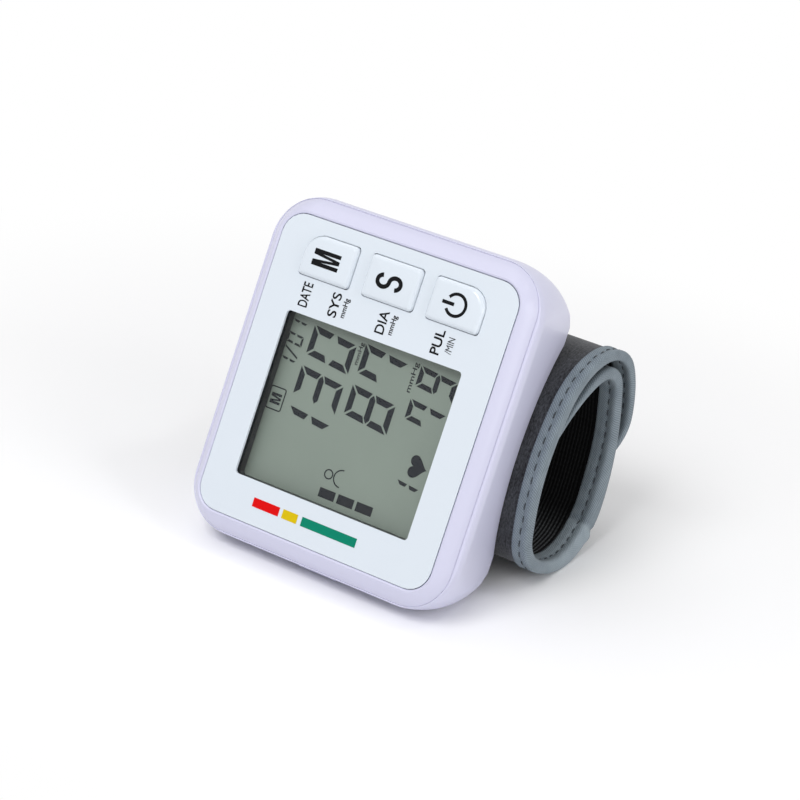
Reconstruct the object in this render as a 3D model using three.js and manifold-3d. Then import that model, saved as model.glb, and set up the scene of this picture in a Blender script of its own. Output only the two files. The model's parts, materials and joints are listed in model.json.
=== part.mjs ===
// Wrist blood pressure monitor with its cuff closed in a loop behind the housing.
// All sizes are in millimetres. Inside the monitor x runs along the wrist, y runs up the face and
// z comes out of the face plate, whose front is z = 0. The last lines lean the monitor back until
// it stands on the ridge of its battery door and on the bottom of its cuff, with +Z up.

import * as THREE from 'three';
import { mergeVertices } from 'three/addons/utils/BufferGeometryUtils.js';
import Module from 'manifold-3d';

const wasm = await Module();
wasm.setup();

// Gaps and overruns shared by all pieces
const fit = 0.3; // beside a piece that sits in another
const seat = 0.25; // under a piece that lies on another
const overrun = 3; // how far a cutting tool runs past what it cuts

// Housing
const housingHalfWidth = 34.37;
const housingHalfHeight = 38.76;
const housingDepth = 28.46;
const housingCorner = 11.85;
const sharpestCorner = 1.5;
const widestDepth = 5; // the section is widest this far behind the face
const sideDraft = 4.48; // what each side wall draws in towards the wrist
const endSwell = 0.56; // the end walls first swell a little
const endDraft = 10.46; // and then draw in
const cornerDraft = 12.27;
const shoulderHeight = 1.9; // rounded front edge of the rear shell
const shoulderRound = 0.43;
const lipRound = 0.35;
const backEdgeRound = 0.9;
const archDepth = 19; // from the face to the middle of the arched back
const archRadius = 38.5;
const wall = 1.8;
const archWall = 1.2; // the back is thinner than the sides, to leave room for the cells
const archCentreDepth = archDepth + archRadius;

// Face plate, window and buttons
const plateSideMargin = 4.37; // from the side of the housing to the plate
const plateEndMargin = 4.81; // from the end of the housing to the plate
const plateHalfWidth = housingHalfWidth - plateSideMargin;
const plateHalfHeight = housingHalfHeight - plateEndMargin;
const plateCorner = 5.2;
const plateThickness = 0.6;
const buttonHalfWidth = 6.4;
const buttonHalfHeight = 4.55;
const buttonPitch = 16.4;
const buttonEndMargin = 8; // from the end of the plate to the middle of the buttons
const buttonY = plateHalfHeight - buttonEndMargin;
const windowSideMargin = 7.55;
const windowEndMargin = 9.45; // room for the colour bars under the window
const windowLabelMargin = 8.4; // room for the labels between the window and the buttons
const windowHalfWidth = plateHalfWidth - windowSideMargin;
const windowTop = buttonY - buttonHalfHeight - windowLabelMargin;
const windowBottom = -plateHalfHeight + windowEndMargin;
const windowHalfHeight = (windowTop - windowBottom) / 2;
const windowX = -0.15;
const windowY = (windowTop + windowBottom) / 2;
const windowCorner = 0.8;
const buttonCorner = 0.6;
const buttonOuterCorner = 4.4;
const buttonProud = 0.9;
const buttonBevel = 0.35;
const buttonFlange = 0.9;
const buttonFlangeThickness = 0.8;
const buttonStemRadius = 1.4;
const buttonTravel = 0.6;

// Front shell
const floorThickness = 1.8;
const grooveSideMargin = 1.12; // from the side of the housing to the groove between the shells
const grooveEndMargin = 1.64;
const grooveHalfWidth = housingHalfWidth - grooveSideMargin;
const grooveHalfHeight = housingHalfHeight - grooveEndMargin;
const grooveCorner = 10;
const rimDrop = 3.6; // from the face down to the groove between the shells
const rimEdge = 0.35; // flat edge beside the face plate
const skirtInset = 0.9;
const skirtThickness = 1.2;
const skirtDepth = 8;
const skirtShoulder = 1.3;
const bossRadius = 2.2;
const topScrewSideMargin = 7.77;
const topScrewEndMargin = 8.16;
const lowScrewSideMargin = 5.37;
const screwX = housingHalfWidth - topScrewSideMargin;
const screwTopY = housingHalfHeight - topScrewEndMargin;
const lowScrewX = housingHalfWidth - lowScrewSideMargin;
const lowScrewY = -9.5;

// Screws
const screwShankRadius = 0.9;
const screwHeadRadius = 1.9;
const screwHeadHeight = 1.4;
const screwSeatDepth = 15.5;
const screwTipDepth = 5;
const pillarRadius = 3.3;

// Display stack
const displayMargin = 1.6; // the lens, the gasket and the display reach past the window
const lensThickness = 0.9;
const gasketLip = 0.15;
const gasketDepth = 2.05;
const glassThickness = 1.1;
const glassLedge = 2.2;
const trayWall = 0.9;
const trayFloor = 0.9;
const trayRise = 2.2;
const trayLegRadius = 1.5;
const stripHalfLength = 21;
const stripThickness = 1.4;

// Circuit board
const boardDepth = 8.3;
const boardThickness = 1.2;
const boardSideMargin = 4.37;
const boardEndMargin = 4.76;
const boardHalfWidth = housingHalfWidth - boardSideMargin;
const boardHalfHeight = housingHalfHeight - boardEndMargin;
const boardCorner = 3;
const keyHalfSize = 3;
const keyHeight = 2.25;
const plungerRadius = 1.5;
const plungerLength = 2;
const keyBoreFloor = 0.35;
const chipHalfSize = 5;
const chipHeight = 1.3;
const chipX = -17;
const chipY = 6;
const buzzerRadius = 5.5;
const buzzerHeight = 3.2;
const buzzerX = 19;
const buzzerY = 8.2;
const buzzerHoleRadius = 0.8;

// Battery bay
const cellRadius = 5.25;
const cellLength = 44.5;
const cellNubRadius = 1.9;
const cellNubLength = 0.8;
const cellEdge = 0.6;
const cellToArch = 0.42; // between the rear cell and the arched back
const cellGap = 0.44; // between the two cells
const rearCellEndMargin = 12.36; // from the end of the housing to the middle of the rear cell
const rearCellBackMargin = 7.85; // the least from the back of the housing to the same place
const rearCellY = rearCellEndMargin - housingHalfHeight;
const bayHalfLength = 27.2;
const bayWall = 1;
const doorHalfWidth = 25;
const doorFrontDepth = 8.4;
const doorBackDepth = 24.4;
const doorTopEndMargin = 9.26;
const doorTopY = doorTopEndMargin - housingHalfHeight;
const doorThickness = 1.4;
const doorRidgeHalfWidth = 5;
const doorRidgeWidth = 1.8;
const doorRidgeProud = 0.9;
const doorTabHalfWidth = 3;
const doorTabThickness = 0.8;
const contactThickness = 0.4;
const contactHalfSize = 3.5;
const springRadius = 2.7;
const springWire = 0.35;
const springTurns = 4;

// Air pump
const pumpEndMargin = 13.76; // from the end of the housing to the middle of the pump
const pumpBackMargin = 11.95; // the least from the back of the housing to the same place
const pumpToArch = 2.12; // between the pump's motor and the arched back
const pumpY = housingHalfHeight - pumpEndMargin;
const motorRadius = 6.2;
const motorReach = archRadius + archWall + pumpToArch + motorRadius;
const pumpDepth = Math.min(housingDepth - pumpBackMargin,
  archCentreDepth - Math.sqrt(motorReach ** 2 - pumpY ** 2));
const motorBack = -20;
const motorLength = 18;
const motorCapThickness = 2.2;
const motorCapRadius = 5;
const motorNoseRadius = 2.4;
const motorNoseLength = 0.8;
const shaftRadius = 0.75;
const shaftLength = 7;
const shaftGap = 0.1; // running gap of the motor shaft
const shaftBore = 3;
const crankRadius = 2.6;
const crankThickness = 2.4;
const crankThrow = 1.1;
const pumpHeadLength = 11.5;
const pumpHeadRadius = 6.6;
const pumpHeadWall = 1.1;
const pumpCoverThickness = 1.8;
const diaphragmThickness = 1;
const portRadius = 1.1;
const portLength = 2.2;
const cradleThickness = 1.4;
const cradleHalfWidth = 7.6;
const cradlePlaces = [-16.5, -6.5, 5.5];

// Air line and valve
const lineY = -4.6;
const lineDepth = 12.3;
const manifoldHalfLength = 4.6;
const manifoldHalfSize = 2;
const manifoldX = -2;
const manifoldPortSpread = 2.8;
const valveStart = 7.4;
const valveLength = 11;
const valveRadius = 3.2;
const valveDepth = 13.4;
const valvePlungerRadius = 1.1;
const valvePlungerLength = 4;
const valvePlungerOut = 1.6;
const valveTravel = 0.8;
const sensorHalfSize = 3.6;
const sensorHeight = 3.4;
const sensorY = 8.4;
const hoseBore = 1.3;
const hoseWall = 0.5;
const hoseEnd = 0.3; // how far a hose ends short of the piece that its port stands on
const hoseBend = 4; // the routes of the two bent hoses are shares of this
const pumpHoseLeaves = [[0.32, 0, 0], [0.95, -0.4, 0], [0.9, -1.5, 0.2], [0.15, -3, 0.3]];
const pumpHoseArrives = [[1.55, 2.1, -0.65], [0.3, 1.05, -0.25], [0, 0.3, 0]];
const cuffHoseLeaves = [-0.6, -0.12, 0];
const cuffHoseArrives = [[0.15, 0.03, -0.28], [0, 0, -0.68]];
const nippleX = -15;
const nippleY = -6;
const nippleTipDepth = 14.4;
const nippleClearance = 0.9;

// Cuff
const cuffHalfWidth = 38.6;
const bindingThickness = 0.4;
const bindingWidth = 3.7;
const bindingRound = 0.4;
const layerGap = 0.15;
const fabricThickness = 0.55;
const liningThickness = 0.45;
const loopDepth = 36.8; // from the front layer to the outermost layer behind
const loopHeight = 49.6;
const padThickness = 5.8; // where the bladder is thickest
const bladderHalfWidth = 29;
const bladderStart = 0.23; // shares of the way along the cuff
const bladderEnd = 0.635;
const clipHalfWidth = 24;
const clipStart = 0.655;
const clipEnd = 0.735;
const hookHalfWidth = 2.5;
const hookHalfHeight = 0.9;
const hookLip = 0.8;
const hookLipThickness = 0.9;
const hookX = 17;
const hookLowY = 4;
const hookHighY = 12;
const hookPadHalfWidth = 30;
const hookPadThickness = 0.7;
const hookPadStart = 0.94;
const hookPadEnd = 0.98;
const cuffCorner = 9; // rounding of the free end
const bindingJoin = 0.3; // gap where the two lengths of binding meet
const restFlat = 0.25; // how deep the cuff's edge is flattened where it stands
const leanSearch = [0.1, 0.7]; // the lean lies between these two angles, in radians

// The way of the cuff from its inner end, behind the housing, up and round the wrist, over the
// housing's back and round again: place up, place behind the arch, thickness, as shares
const cuffShares = [
  [0.101, 0.136, 0.379],
  [0.212, 0.196, 0.379],
  [0.319, 0.288, 0.414],
  [0.399, 0.408, 0.448],
  [0.433, 0.543, 0.483],
  [0.405, 0.677, 0.517],
  [0.321, 0.769, 0.586],
  [0.145, 0.899, 0.724],
  [-0.060, 0.973, 0.931],
  [-0.232, 0.978, 1.000],
  [-0.363, 0.894, 0.931],
  [-0.446, 0.745, 0.724],
  [-0.480, 0.543, 0.552],
  [-0.464, 0.321, 0.534],
  [-0.403, 0.201, 0.534],
  [-0.282, 0.117, 0.552],
  [-0.131, 0.057, 0.569],
  [0.020, 0.039, 0.569],
  [0.171, 0.064, 0.569],
  [0.306, 0.128, 0.534],
  [0.419, 0.245, 0.466],
  [0.496, 0.421, 0.414],
  [0.520, 0.611, 0.414],
  [0.490, 0.769, 0.414],
  [0.413, 0.894, 0.414],
  [0.306, 0.992, 0.414],
  [0.212, 1.038, 0.414],
  [0.129, 1.038, 0.414],
];
const firstOnArch = 14; // these rows lie on the arched back of the housing
const lastOnArch = 19;

// Counts of facets
const cornerSteps = 6;
const smallCornerSteps = 3;
const archSides = 128;
const rodSides = 20;
const cuffSteps = 60;
const cuffCornerSteps = 6;
const rightCornerSteps = 5; // on the right length of binding
const hoseSides = 4; // per half turn
const hoseSteps = 18;
const shortHoseSteps = 9;
const leanSteps = 40;
const springSteps = 7;
const springSides = 4;
const smallCorner = 3; // corners under this get fewer facets
const mergeTolerance = 1e-5;

// Finishes: colour, roughness, metalness
const finishes = {
  lilac: [0xd3d0ea, 0.35, 0],
  white: [0xe2eaf1, 0.2, 0],
  clear: [0xdfe6ea, 0.05, 0],
  black: [0x17181b, 0.6, 0],
  glass: [0x8c968c, 0.15, 0],
  tray: [0xeeeeea, 0.5, 0],
  strip: [0x3b4048, 0.7, 0],
  board: [0x1f6b3c, 0.5, 0],
  steel: [0xb9bdc2, 0.35, 1],
  nickel: [0xc9c6bd, 0.3, 1],
  brass: [0xb8964a, 0.35, 1],
  natural: [0xd9dadb, 0.55, 0],
  hose: [0xe6e2da, 0.45, 0],
  cell: [0x3a4a5a, 0.35, 0.2],
  rubber: [0x2a2b2d, 0.8, 0],
  fabric: [0x4b4c50, 0.95, 0],
  lining: [0x17181a, 0.95, 0],
  binding: [0x8c98a0, 0.85, 0],
  bladder: [0x6d6a66, 0.7, 0],
};

const monitor = new THREE.Group();

// Solids from geometries and back

function signedVolume(positions, index) {
  const corner = (i) => new THREE.Vector3().fromBufferAttribute(positions, index[i]);
  let volume = 0;
  for (let t = 0; t < index.length; t += 3) {
    volume += corner(t).dot(corner(t + 1).cross(corner(t + 2)));
  }
  return volume;
}

function toSolid(geometry) {
  const bare = new THREE.BufferGeometry();
  bare.setAttribute('position', geometry.getAttribute('position'));
  if (geometry.index) bare.setIndex(geometry.index);
  const merged = mergeVertices(bare, mergeTolerance);
  const index = Uint32Array.from(merged.index.array);
  if (signedVolume(merged.getAttribute('position'), index) < 0) index.reverse();
  return new wasm.Manifold(new wasm.Mesh({
    numProp: 3,
    vertProperties: Float32Array.from(merged.getAttribute('position').array),
    triVerts: index,
  }));
}

function toGeometry(solid) {
  const faces = solid.getMesh();
  const geometry = new THREE.BufferGeometry();
  geometry.setAttribute('position', new THREE.BufferAttribute(faces.vertProperties, 3));
  geometry.setIndex(new THREE.BufferAttribute(faces.triVerts, 1));
  geometry.computeVertexNormals();
  return geometry;
}

function place(name, solid, finish) {
  const [colour, roughness, metalness] = finishes[finish];
  const material = new THREE.MeshStandardMaterial({ color: colour, roughness, metalness });
  const piece = new THREE.Mesh(toGeometry(solid), material);
  piece.name = name;
  monitor.add(piece);
  return piece;
}

// A solid through rings of points. Each ring has as many points; the ends are closed by a fan,
// unless the last ring is to join the first.
function loft(rings, endless = false) {
  const count = rings[0].length;
  const points = rings.flat();
  const index = [];
  const spans = endless ? rings.length : rings.length - 1;
  for (let r = 0; r < spans; r += 1) {
    const here = r * count;
    const next = ((r + 1) % rings.length) * count;
    for (let i = 0; i < count; i += 1) {
      const j = (i + 1) % count;
      index.push(here + i, here + j, next + j, here + i, next + j, next + i);
    }
  }
  if (!endless) {
    for (const [ring, first] of [[rings[0], 0], [rings.at(-1), points.length - count]]) {
      const middle = ring.reduce((sum, p) => sum.add(p), new THREE.Vector3()).divideScalar(count);
      const hub = points.push(middle) - 1;
      for (let i = 0; i < count; i += 1) {
        const j = (i + 1) % count;
        if (first === 0) index.push(hub, first + j, first + i);
        else index.push(hub, first + i, first + j);
      }
    }
  }
  const geometry = new THREE.BufferGeometry();
  geometry.setFromPoints(points);
  geometry.setIndex(index);
  return toSolid(geometry);
}

// The outline of a rounded rectangle as a ring of points at one height
function ring(halfWidth, halfHeight, corner, z, x = 0, y = 0, steps = cornerSteps) {
  const points = [];
  for (let quarter = 0; quarter < 4; quarter += 1) {
    const sideX = quarter === 0 || quarter === 3 ? 1 : -1;
    const sideY = quarter < 2 ? 1 : -1;
    for (let step = 0; step <= steps; step += 1) {
      const turn = (quarter + step / steps) * Math.PI / 2;
      points.push(new THREE.Vector3(
        x + sideX * (halfWidth - corner) + corner * Math.cos(turn),
        y + sideY * (halfHeight - corner) + corner * Math.sin(turn),
        z,
      ));
    }
  }
  return points;
}

function roundedSlab(halfWidth, halfHeight, corner, back, front, x = 0, y = 0) {
  const steps = corner < smallCorner ? smallCornerSteps : cornerSteps;
  return loft([
    ring(halfWidth, halfHeight, corner, front, x, y, steps),
    ring(halfWidth, halfHeight, corner, back, x, y, steps),
  ]);
}

function block(x0, x1, y0, y1, z0, z1) {
  const geometry = new THREE.BoxGeometry(x1 - x0, y1 - y0, z1 - z0);
  geometry.translate((x0 + x1) / 2, (y0 + y1) / 2, (z0 + z1) / 2);
  return toSolid(geometry);
}

// A round bar along z through (x, y), or along x through (y, z), or along y through (x, z)
function rodZ(radius, z0, z1, x, y, sides = rodSides) {
  const geometry = new THREE.CylinderGeometry(radius, radius, Math.abs(z1 - z0), sides);
  geometry.rotateX(Math.PI / 2);
  geometry.translate(x, y, (z0 + z1) / 2);
  return toSolid(geometry);
}

function rodX(radius, x0, x1, y, z, sides = rodSides) {
  const geometry = new THREE.CylinderGeometry(radius, radius, Math.abs(x1 - x0), sides);
  geometry.rotateZ(Math.PI / 2);
  geometry.translate((x0 + x1) / 2, y, z);
  return toSolid(geometry);
}

function rodY(radius, y0, y1, x, z, sides = rodSides) {
  const geometry = new THREE.CylinderGeometry(radius, radius, Math.abs(y1 - y0), sides);
  geometry.translate(x, (y0 + y1) / 2, z);
  return toSolid(geometry);
}

// A solid turned on the x axis, from a profile of distances along it and radii
function turnedX(profile, y, z, sides = rodSides) {
  const outline = profile.map(([along, radius]) => new THREE.Vector2(radius, along));
  const geometry = new THREE.LatheGeometry(outline, sides);
  geometry.rotateZ(-Math.PI / 2);
  geometry.translate(0, y, z);
  return toSolid(geometry);
}

// The outline of the housing at one depth behind the face, drawn in by an inset
function sectionAt(depth, inset = 0) {
  const share = Math.max(depth - widestDepth, 0) / (housingDepth - widestDepth);
  const shoulder = shoulderRound * (Math.max(widestDepth - depth, 0) / shoulderHeight) ** 2;
  const halfWidth = housingHalfWidth - sideDraft * share - shoulder - inset;
  const halfHeight = housingHalfHeight + endSwell * share - endDraft * share ** 2 - shoulder - inset;
  const corner = Math.max(housingCorner - cornerDraft * share - shoulder - inset, sharpestCorner);
  return ring(halfWidth, halfHeight, corner, -depth);
}

const sectionDepths = [0, 0.15, 0.33, 0.5, 0.66, 0.82, 0.96]
  .map((share) => widestDepth + share * (housingDepth - widestDepth));

// What lies behind the arched back, or behind the same arch moved forward by a margin
function behindArch(margin = 0) {
  const reach = housingHalfWidth + overrun;
  return rodX(archRadius + margin, -reach, reach, 0, -archCentreDepth, archSides);
}

function archZ(y) {
  return Math.sqrt(archRadius ** 2 - y ** 2) - archCentreDepth;
}

const lipDepth = widestDepth - shoulderHeight;
const lipHalfWidth = grooveHalfWidth + fit + lipRound;
const lipHalfHeight = grooveHalfHeight + fit + lipRound;
const lipCorner = grooveCorner + fit + lipRound;

// Outlines of the housing's walls from the widest place to the back, drawn in by an inset
function housingBody(inset) {
  const rings = sectionDepths.map((depth) => sectionAt(depth, inset));
  rings.push(sectionAt(housingDepth - inset, inset + backEdgeRound));
  return rings;
}

// The whole outside of the rear shell, and the room inside it
const housingOutside = loft([
  ring(lipHalfWidth, lipHalfHeight, lipCorner, -lipDepth),
  sectionAt(lipDepth + lipRound),
  sectionAt(lipDepth + 2 * lipRound),
  ...housingBody(0),
]).subtract(behindArch());

function roomInside(inset, archInset) {
  return loft([
    ring(grooveHalfWidth + fit, grooveHalfHeight + fit, grooveCorner + fit, 0),
    ring(grooveHalfWidth + fit, grooveHalfHeight + fit, grooveCorner + fit, -rimDrop),
    ...housingBody(inset),
  ]).subtract(behindArch(archInset));
}

const housingRoom = roomInside(wall, archWall);

// Face plate

// The outline of a button at one height: the corner at the end of the row is the large one
function buttonOutline(x, side, margin, z) {
  const halfWidth = buttonHalfWidth + margin;
  const halfHeight = buttonHalfHeight + margin;
  const points = [];
  [[1, 1], [-1, 1], [-1, -1], [1, -1]].forEach(([sideX, sideY], quarter) => {
    const atEnd = sideY > 0 && sideX === side;
    const corner = (atEnd ? buttonOuterCorner : buttonCorner) + margin;
    for (let step = 0; step <= cornerSteps; step += 1) {
      const turn = (quarter + step / cornerSteps) * Math.PI / 2;
      points.push(new THREE.Vector3(
        x + sideX * (halfWidth - corner) + corner * Math.cos(turn),
        buttonY + sideY * (halfHeight - corner) + corner * Math.sin(turn),
        z,
      ));
    }
  });
  return points;
}

function buttonHole(x, side, back, front) {
  return loft([buttonOutline(x, side, fit, front), buttonOutline(x, side, fit, back)]);
}

const buttonPlaces = [
  { name: 'memory', side: -1, x: -buttonPitch },
  { name: 'set', side: 0, x: 0 },
  { name: 'power', side: 1, x: buttonPitch },
];

const plateBack = -plateThickness;
let plate = roundedSlab(plateHalfWidth, plateHalfHeight, plateCorner, plateBack, 0);
plate = plate.subtract(roundedSlab(windowHalfWidth, windowHalfHeight, windowCorner,
  plateBack - overrun, overrun, windowX, windowY));
for (const { side, x } of buttonPlaces) {
  plate = plate.subtract(buttonHole(x, side, plateBack - overrun, overrun));
}
place('face_plate', plate, 'white');

// Front shell: crowned rim, floor under the plate, skirt inside the rear shell and screw bosses

const floorFront = plateBack - fit;
const floorBack = floorFront - floorThickness;
const rimInnerHalfWidth = plateHalfWidth + fit;
const rimInnerHalfHeight = plateHalfHeight + fit;
const rimInnerCorner = plateCorner + fit;
const rimShares = [0, 0.2, 0.4, 0.6, 0.8, 0.92, 1];

function rimRing(share) {
  // Half a straight slope and half a quarter ellipse, as the rim is crowned
  const fall = rimDrop * (share + 1 - Math.sqrt(1 - share ** 2)) / 2;
  return ring(
    THREE.MathUtils.lerp(rimInnerHalfWidth + rimEdge, grooveHalfWidth, share),
    THREE.MathUtils.lerp(rimInnerHalfHeight + rimEdge, grooveHalfHeight, share),
    THREE.MathUtils.lerp(rimInnerCorner + rimEdge, grooveCorner, share),
    -fall,
  );
}

const skirtHalfWidth = housingHalfWidth - wall - skirtInset;
const skirtHalfHeight = housingHalfHeight - wall - skirtInset;
const skirtCorner = housingCorner - wall - skirtInset;
const rim = loft([
  ring(rimInnerHalfWidth, rimInnerHalfHeight, rimInnerCorner, -rimEdge),
  ...rimShares.map(rimRing),
  ring(grooveHalfWidth - fit, grooveHalfHeight - fit, grooveCorner - fit, -rimDrop - fit),
  ring(skirtHalfWidth, skirtHalfHeight, skirtCorner, -rimDrop - skirtShoulder),
  ring(skirtHalfWidth, skirtHalfHeight, skirtCorner, -skirtDepth),
  ring(skirtHalfWidth - skirtThickness, skirtHalfHeight - skirtThickness,
    skirtCorner - skirtThickness, -skirtDepth),
  ring(skirtHalfWidth - skirtThickness, skirtHalfHeight - skirtThickness,
    skirtCorner - skirtThickness, floorBack),
  ring(rimInnerHalfWidth, rimInnerHalfHeight, rimInnerCorner, floorBack),
], true);

const screwPlaces = [
  { name: 'top_left', x: -screwX, y: screwTopY },
  { name: 'top_right', x: screwX, y: screwTopY },
  { name: 'low_left', x: -lowScrewX, y: lowScrewY },
  { name: 'low_right', x: lowScrewX, y: lowScrewY },
];
const boardBack = -boardDepth - boardThickness;

// The rear cell lies along the arched back, the front cell beside it under the board
const frontCellDepth = -boardBack + seat + cellRadius;
const rearCellReach = archRadius + archWall + cellToArch + cellRadius;
const rearCellDepth = Math.min(housingDepth - rearCellBackMargin,
  archCentreDepth - Math.sqrt(rearCellReach ** 2 - rearCellY ** 2));
const cellPitch = 2 * cellRadius + cellGap;
const frontCellY = rearCellY
  + Math.sqrt(cellPitch ** 2 - (rearCellDepth - frontCellDepth) ** 2);

let frontShell = rim.add(roundedSlab(rimInnerHalfWidth + fit, rimInnerHalfHeight + fit,
  rimInnerCorner + fit, floorBack, floorFront));
frontShell = frontShell.subtract(roundedSlab(
  windowHalfWidth + displayMargin + fit, windowHalfHeight + displayMargin + fit,
  windowCorner + fit, floorBack - overrun, overrun, windowX, windowY,
));
for (const { side, x } of buttonPlaces) {
  frontShell = frontShell.subtract(buttonHole(x, side, floorBack - overrun, overrun));
}
const pilotRadius = screwShankRadius + fit;
for (const { x, y } of screwPlaces) {
  frontShell = frontShell.add(rodZ(bossRadius, boardBack, floorBack + floorThickness / 2, x, y));
  frontShell = frontShell.subtract(rodZ(pilotRadius, boardBack - overrun,
    -screwTipDepth + fit, x, y));
}
place('front_shell', frontShell, 'lilac');

// Rear shell: walls, screw pillars, battery bay, holes for the cuff's hooks and nipple

const bayWallY = frontCellY + cellRadius + seat;
const doorBottom = -housingHalfHeight - overrun;
let rearShell = housingOutside.subtract(housingRoom);
let fittings = block(bayHalfLength, bayHalfLength + bayWall,
  doorBottom, bayWallY + bayWall, -housingDepth, boardBack - seat);
fittings = fittings.add(block(-bayHalfLength - bayWall, -bayHalfLength,
  doorBottom, bayWallY + bayWall, -housingDepth, boardBack - seat));
fittings = fittings.add(block(-bayHalfLength - bayWall, bayHalfLength + bayWall,
  bayWallY, bayWallY + bayWall, -housingDepth, boardBack - seat));
for (const { x, y } of screwPlaces) {
  fittings = fittings.add(rodZ(pillarRadius, -housingDepth, boardBack - fit, x, y));
}
for (const x of cradlePlaces) {
  fittings = fittings.add(block(x - cradleThickness / 2, x + cradleThickness / 2,
    pumpY - cradleHalfWidth, pumpY + cradleHalfWidth, -housingDepth, -pumpDepth));
}
fittings = fittings.subtract(rodX(motorRadius + fit, motorBack - motorCapThickness - overrun,
  motorBack + motorLength, pumpY, -pumpDepth));
fittings = fittings.subtract(rodX(pumpHeadRadius + fit, motorBack + motorLength,
  motorBack + motorLength + pumpHeadLength + overrun, pumpY, -pumpDepth));
const housingCore = roomInside(wall / 2, archWall / 2);
rearShell = rearShell.add(fittings.intersect(housingCore));
for (const { x, y } of screwPlaces) {
  rearShell = rearShell.subtract(rodZ(pilotRadius, -housingDepth, boardBack + overrun, x, y));
  rearShell = rearShell.subtract(rodZ(screwHeadRadius + fit, -housingDepth - overrun,
    -screwSeatDepth + seat, x, y));
}

function doorBlock(margin) {
  return block(-doorHalfWidth - margin, doorHalfWidth + margin, doorBottom, doorTopY,
    -doorBackDepth - margin, -doorFrontDepth + margin);
}

rearShell = rearShell.subtract(doorBlock(fit));
const hookPlaces = [hookLowY, hookHighY].flatMap((y) => [{ x: -hookX, y }, { x: hookX, y }]);
for (const { x, y } of hookPlaces) {
  rearShell = rearShell.subtract(block(x - hookHalfWidth - fit, x + hookHalfWidth + fit,
    y - hookHalfHeight - fit, y + hookHalfHeight + hookLip + fit,
    -housingDepth, archZ(y) + archWall + overrun));
}
rearShell = rearShell.subtract(rodZ(portRadius + nippleClearance, -housingDepth,
  archZ(nippleY) + archWall + overrun, nippleX, nippleY));
place('rear_shell', rearShell, 'lilac');

// Battery door: a piece of the bottom wall with a thumb ridge outside and two tabs inside

let door = housingOutside.subtract(roomInside(doorThickness, archWall)).intersect(doorBlock(0));
const ridgeFront = -doorFrontDepth - fit;
const ridgeBottom = housingHalfHeight + doorRidgeProud;
const ridge = block(-doorRidgeHalfWidth, doorRidgeHalfWidth, -ridgeBottom,
  -ridgeBottom + doorRidgeProud + doorThickness, ridgeFront - doorRidgeWidth, ridgeFront);
door = door.add(ridge);
for (const side of [-1, 1]) {
  const tabX = side * (doorHalfWidth - 2 * doorTabHalfWidth);
  door = door.add(block(tabX - doorTabHalfWidth, tabX + doorTabHalfWidth,
    -housingHalfHeight + doorThickness / 2, -housingHalfHeight + wall + fit + doorTabThickness,
    -doorFrontDepth - 2 * doorTabThickness, -doorFrontDepth - doorTabThickness));
}
place('battery_door', door, 'lilac');

// Screws

for (const { name, x, y } of screwPlaces) {
  const shank = rodZ(screwShankRadius, -screwSeatDepth - screwHeadHeight / 2,
    -screwTipDepth, x, y);
  const head = rodZ(screwHeadRadius, -screwSeatDepth - screwHeadHeight, -screwSeatDepth, x, y);
  place(`screw_${name}`, shank.add(head), 'steel');
}

// Display: lens, gasket, display cell, tray and contact strip

const lensFront = plateBack - seat;
const lensBack = lensFront - lensThickness;
const displayHalfWidth = windowHalfWidth + displayMargin;
const displayHalfHeight = windowHalfHeight + displayMargin;
place('display_lens', roundedSlab(displayHalfWidth, displayHalfHeight, windowCorner,
  lensBack, lensFront, windowX, windowY), 'clear');

const gasketFront = lensBack - seat;
const gasketBack = gasketFront - gasketDepth;
const gasketHole = roundedSlab(windowHalfWidth + gasketLip, windowHalfHeight + gasketLip,
  windowCorner, gasketBack - overrun, gasketFront + overrun, windowX, windowY);
place('display_gasket', roundedSlab(displayHalfWidth, displayHalfHeight, windowCorner,
  gasketBack, gasketFront, windowX, windowY).subtract(gasketHole), 'black');

const glassFront = gasketBack - seat;
const glassMiddle = glassFront - glassThickness;
const glassBack = glassMiddle - glassThickness;
const displayBottom = windowY - displayHalfHeight;
const frontGlass = roundedSlab(displayHalfWidth, displayHalfHeight, windowCorner,
  glassMiddle, glassFront, windowX, windowY);
const backGlass = block(windowX - displayHalfWidth, windowX + displayHalfWidth,
  displayBottom + glassLedge, windowY + displayHalfHeight, glassBack, glassMiddle + seat);
place('display_cell', frontGlass.add(backGlass), 'glass');

const trayFront = glassBack - seat;
const trayBack = trayFront - trayFloor;
const trayHalfWidth = displayHalfWidth + fit + trayWall;
const trayHalfHeight = displayHalfHeight + fit + trayWall;
let tray = roundedSlab(trayHalfWidth, trayHalfHeight, windowCorner + trayWall,
  trayBack, trayFront + trayRise, windowX, windowY);
tray = tray.subtract(roundedSlab(displayHalfWidth + fit, displayHalfHeight + fit, windowCorner,
  trayFront, overrun, windowX, windowY));
for (const sideX of [-1, 1]) {
  for (const sideY of [-1, 1]) {
    tray = tray.add(rodZ(trayLegRadius, -boardDepth + seat, trayFront - trayFloor / 2,
      windowX + sideX * (trayHalfWidth - trayLegRadius),
      windowY + sideY * (trayHalfHeight - trayLegRadius)));
  }
}
const stripY = displayBottom + glassLedge / 2;
const stripSlot = block(windowX - stripHalfLength - fit, windowX + stripHalfLength + fit,
  stripY - stripThickness / 2 - fit, stripY + stripThickness / 2 + fit,
  trayBack - overrun, trayFront + seat);
place('display_tray', tray.subtract(stripSlot), 'tray');
place('contact_strip', block(windowX - stripHalfLength, windowX + stripHalfLength,
  stripY - stripThickness / 2, stripY + stripThickness / 2,
  -boardDepth + seat, glassMiddle - seat), 'strip');

// Circuit board and what is soldered on it

let board = roundedSlab(boardHalfWidth, boardHalfHeight, boardCorner, boardBack, -boardDepth);
for (const { x, y } of screwPlaces) {
  board = board.subtract(rodZ(bossRadius + fit, boardBack - overrun, -boardDepth + overrun, x, y));
}
place('circuit_board', board, 'board');

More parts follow.
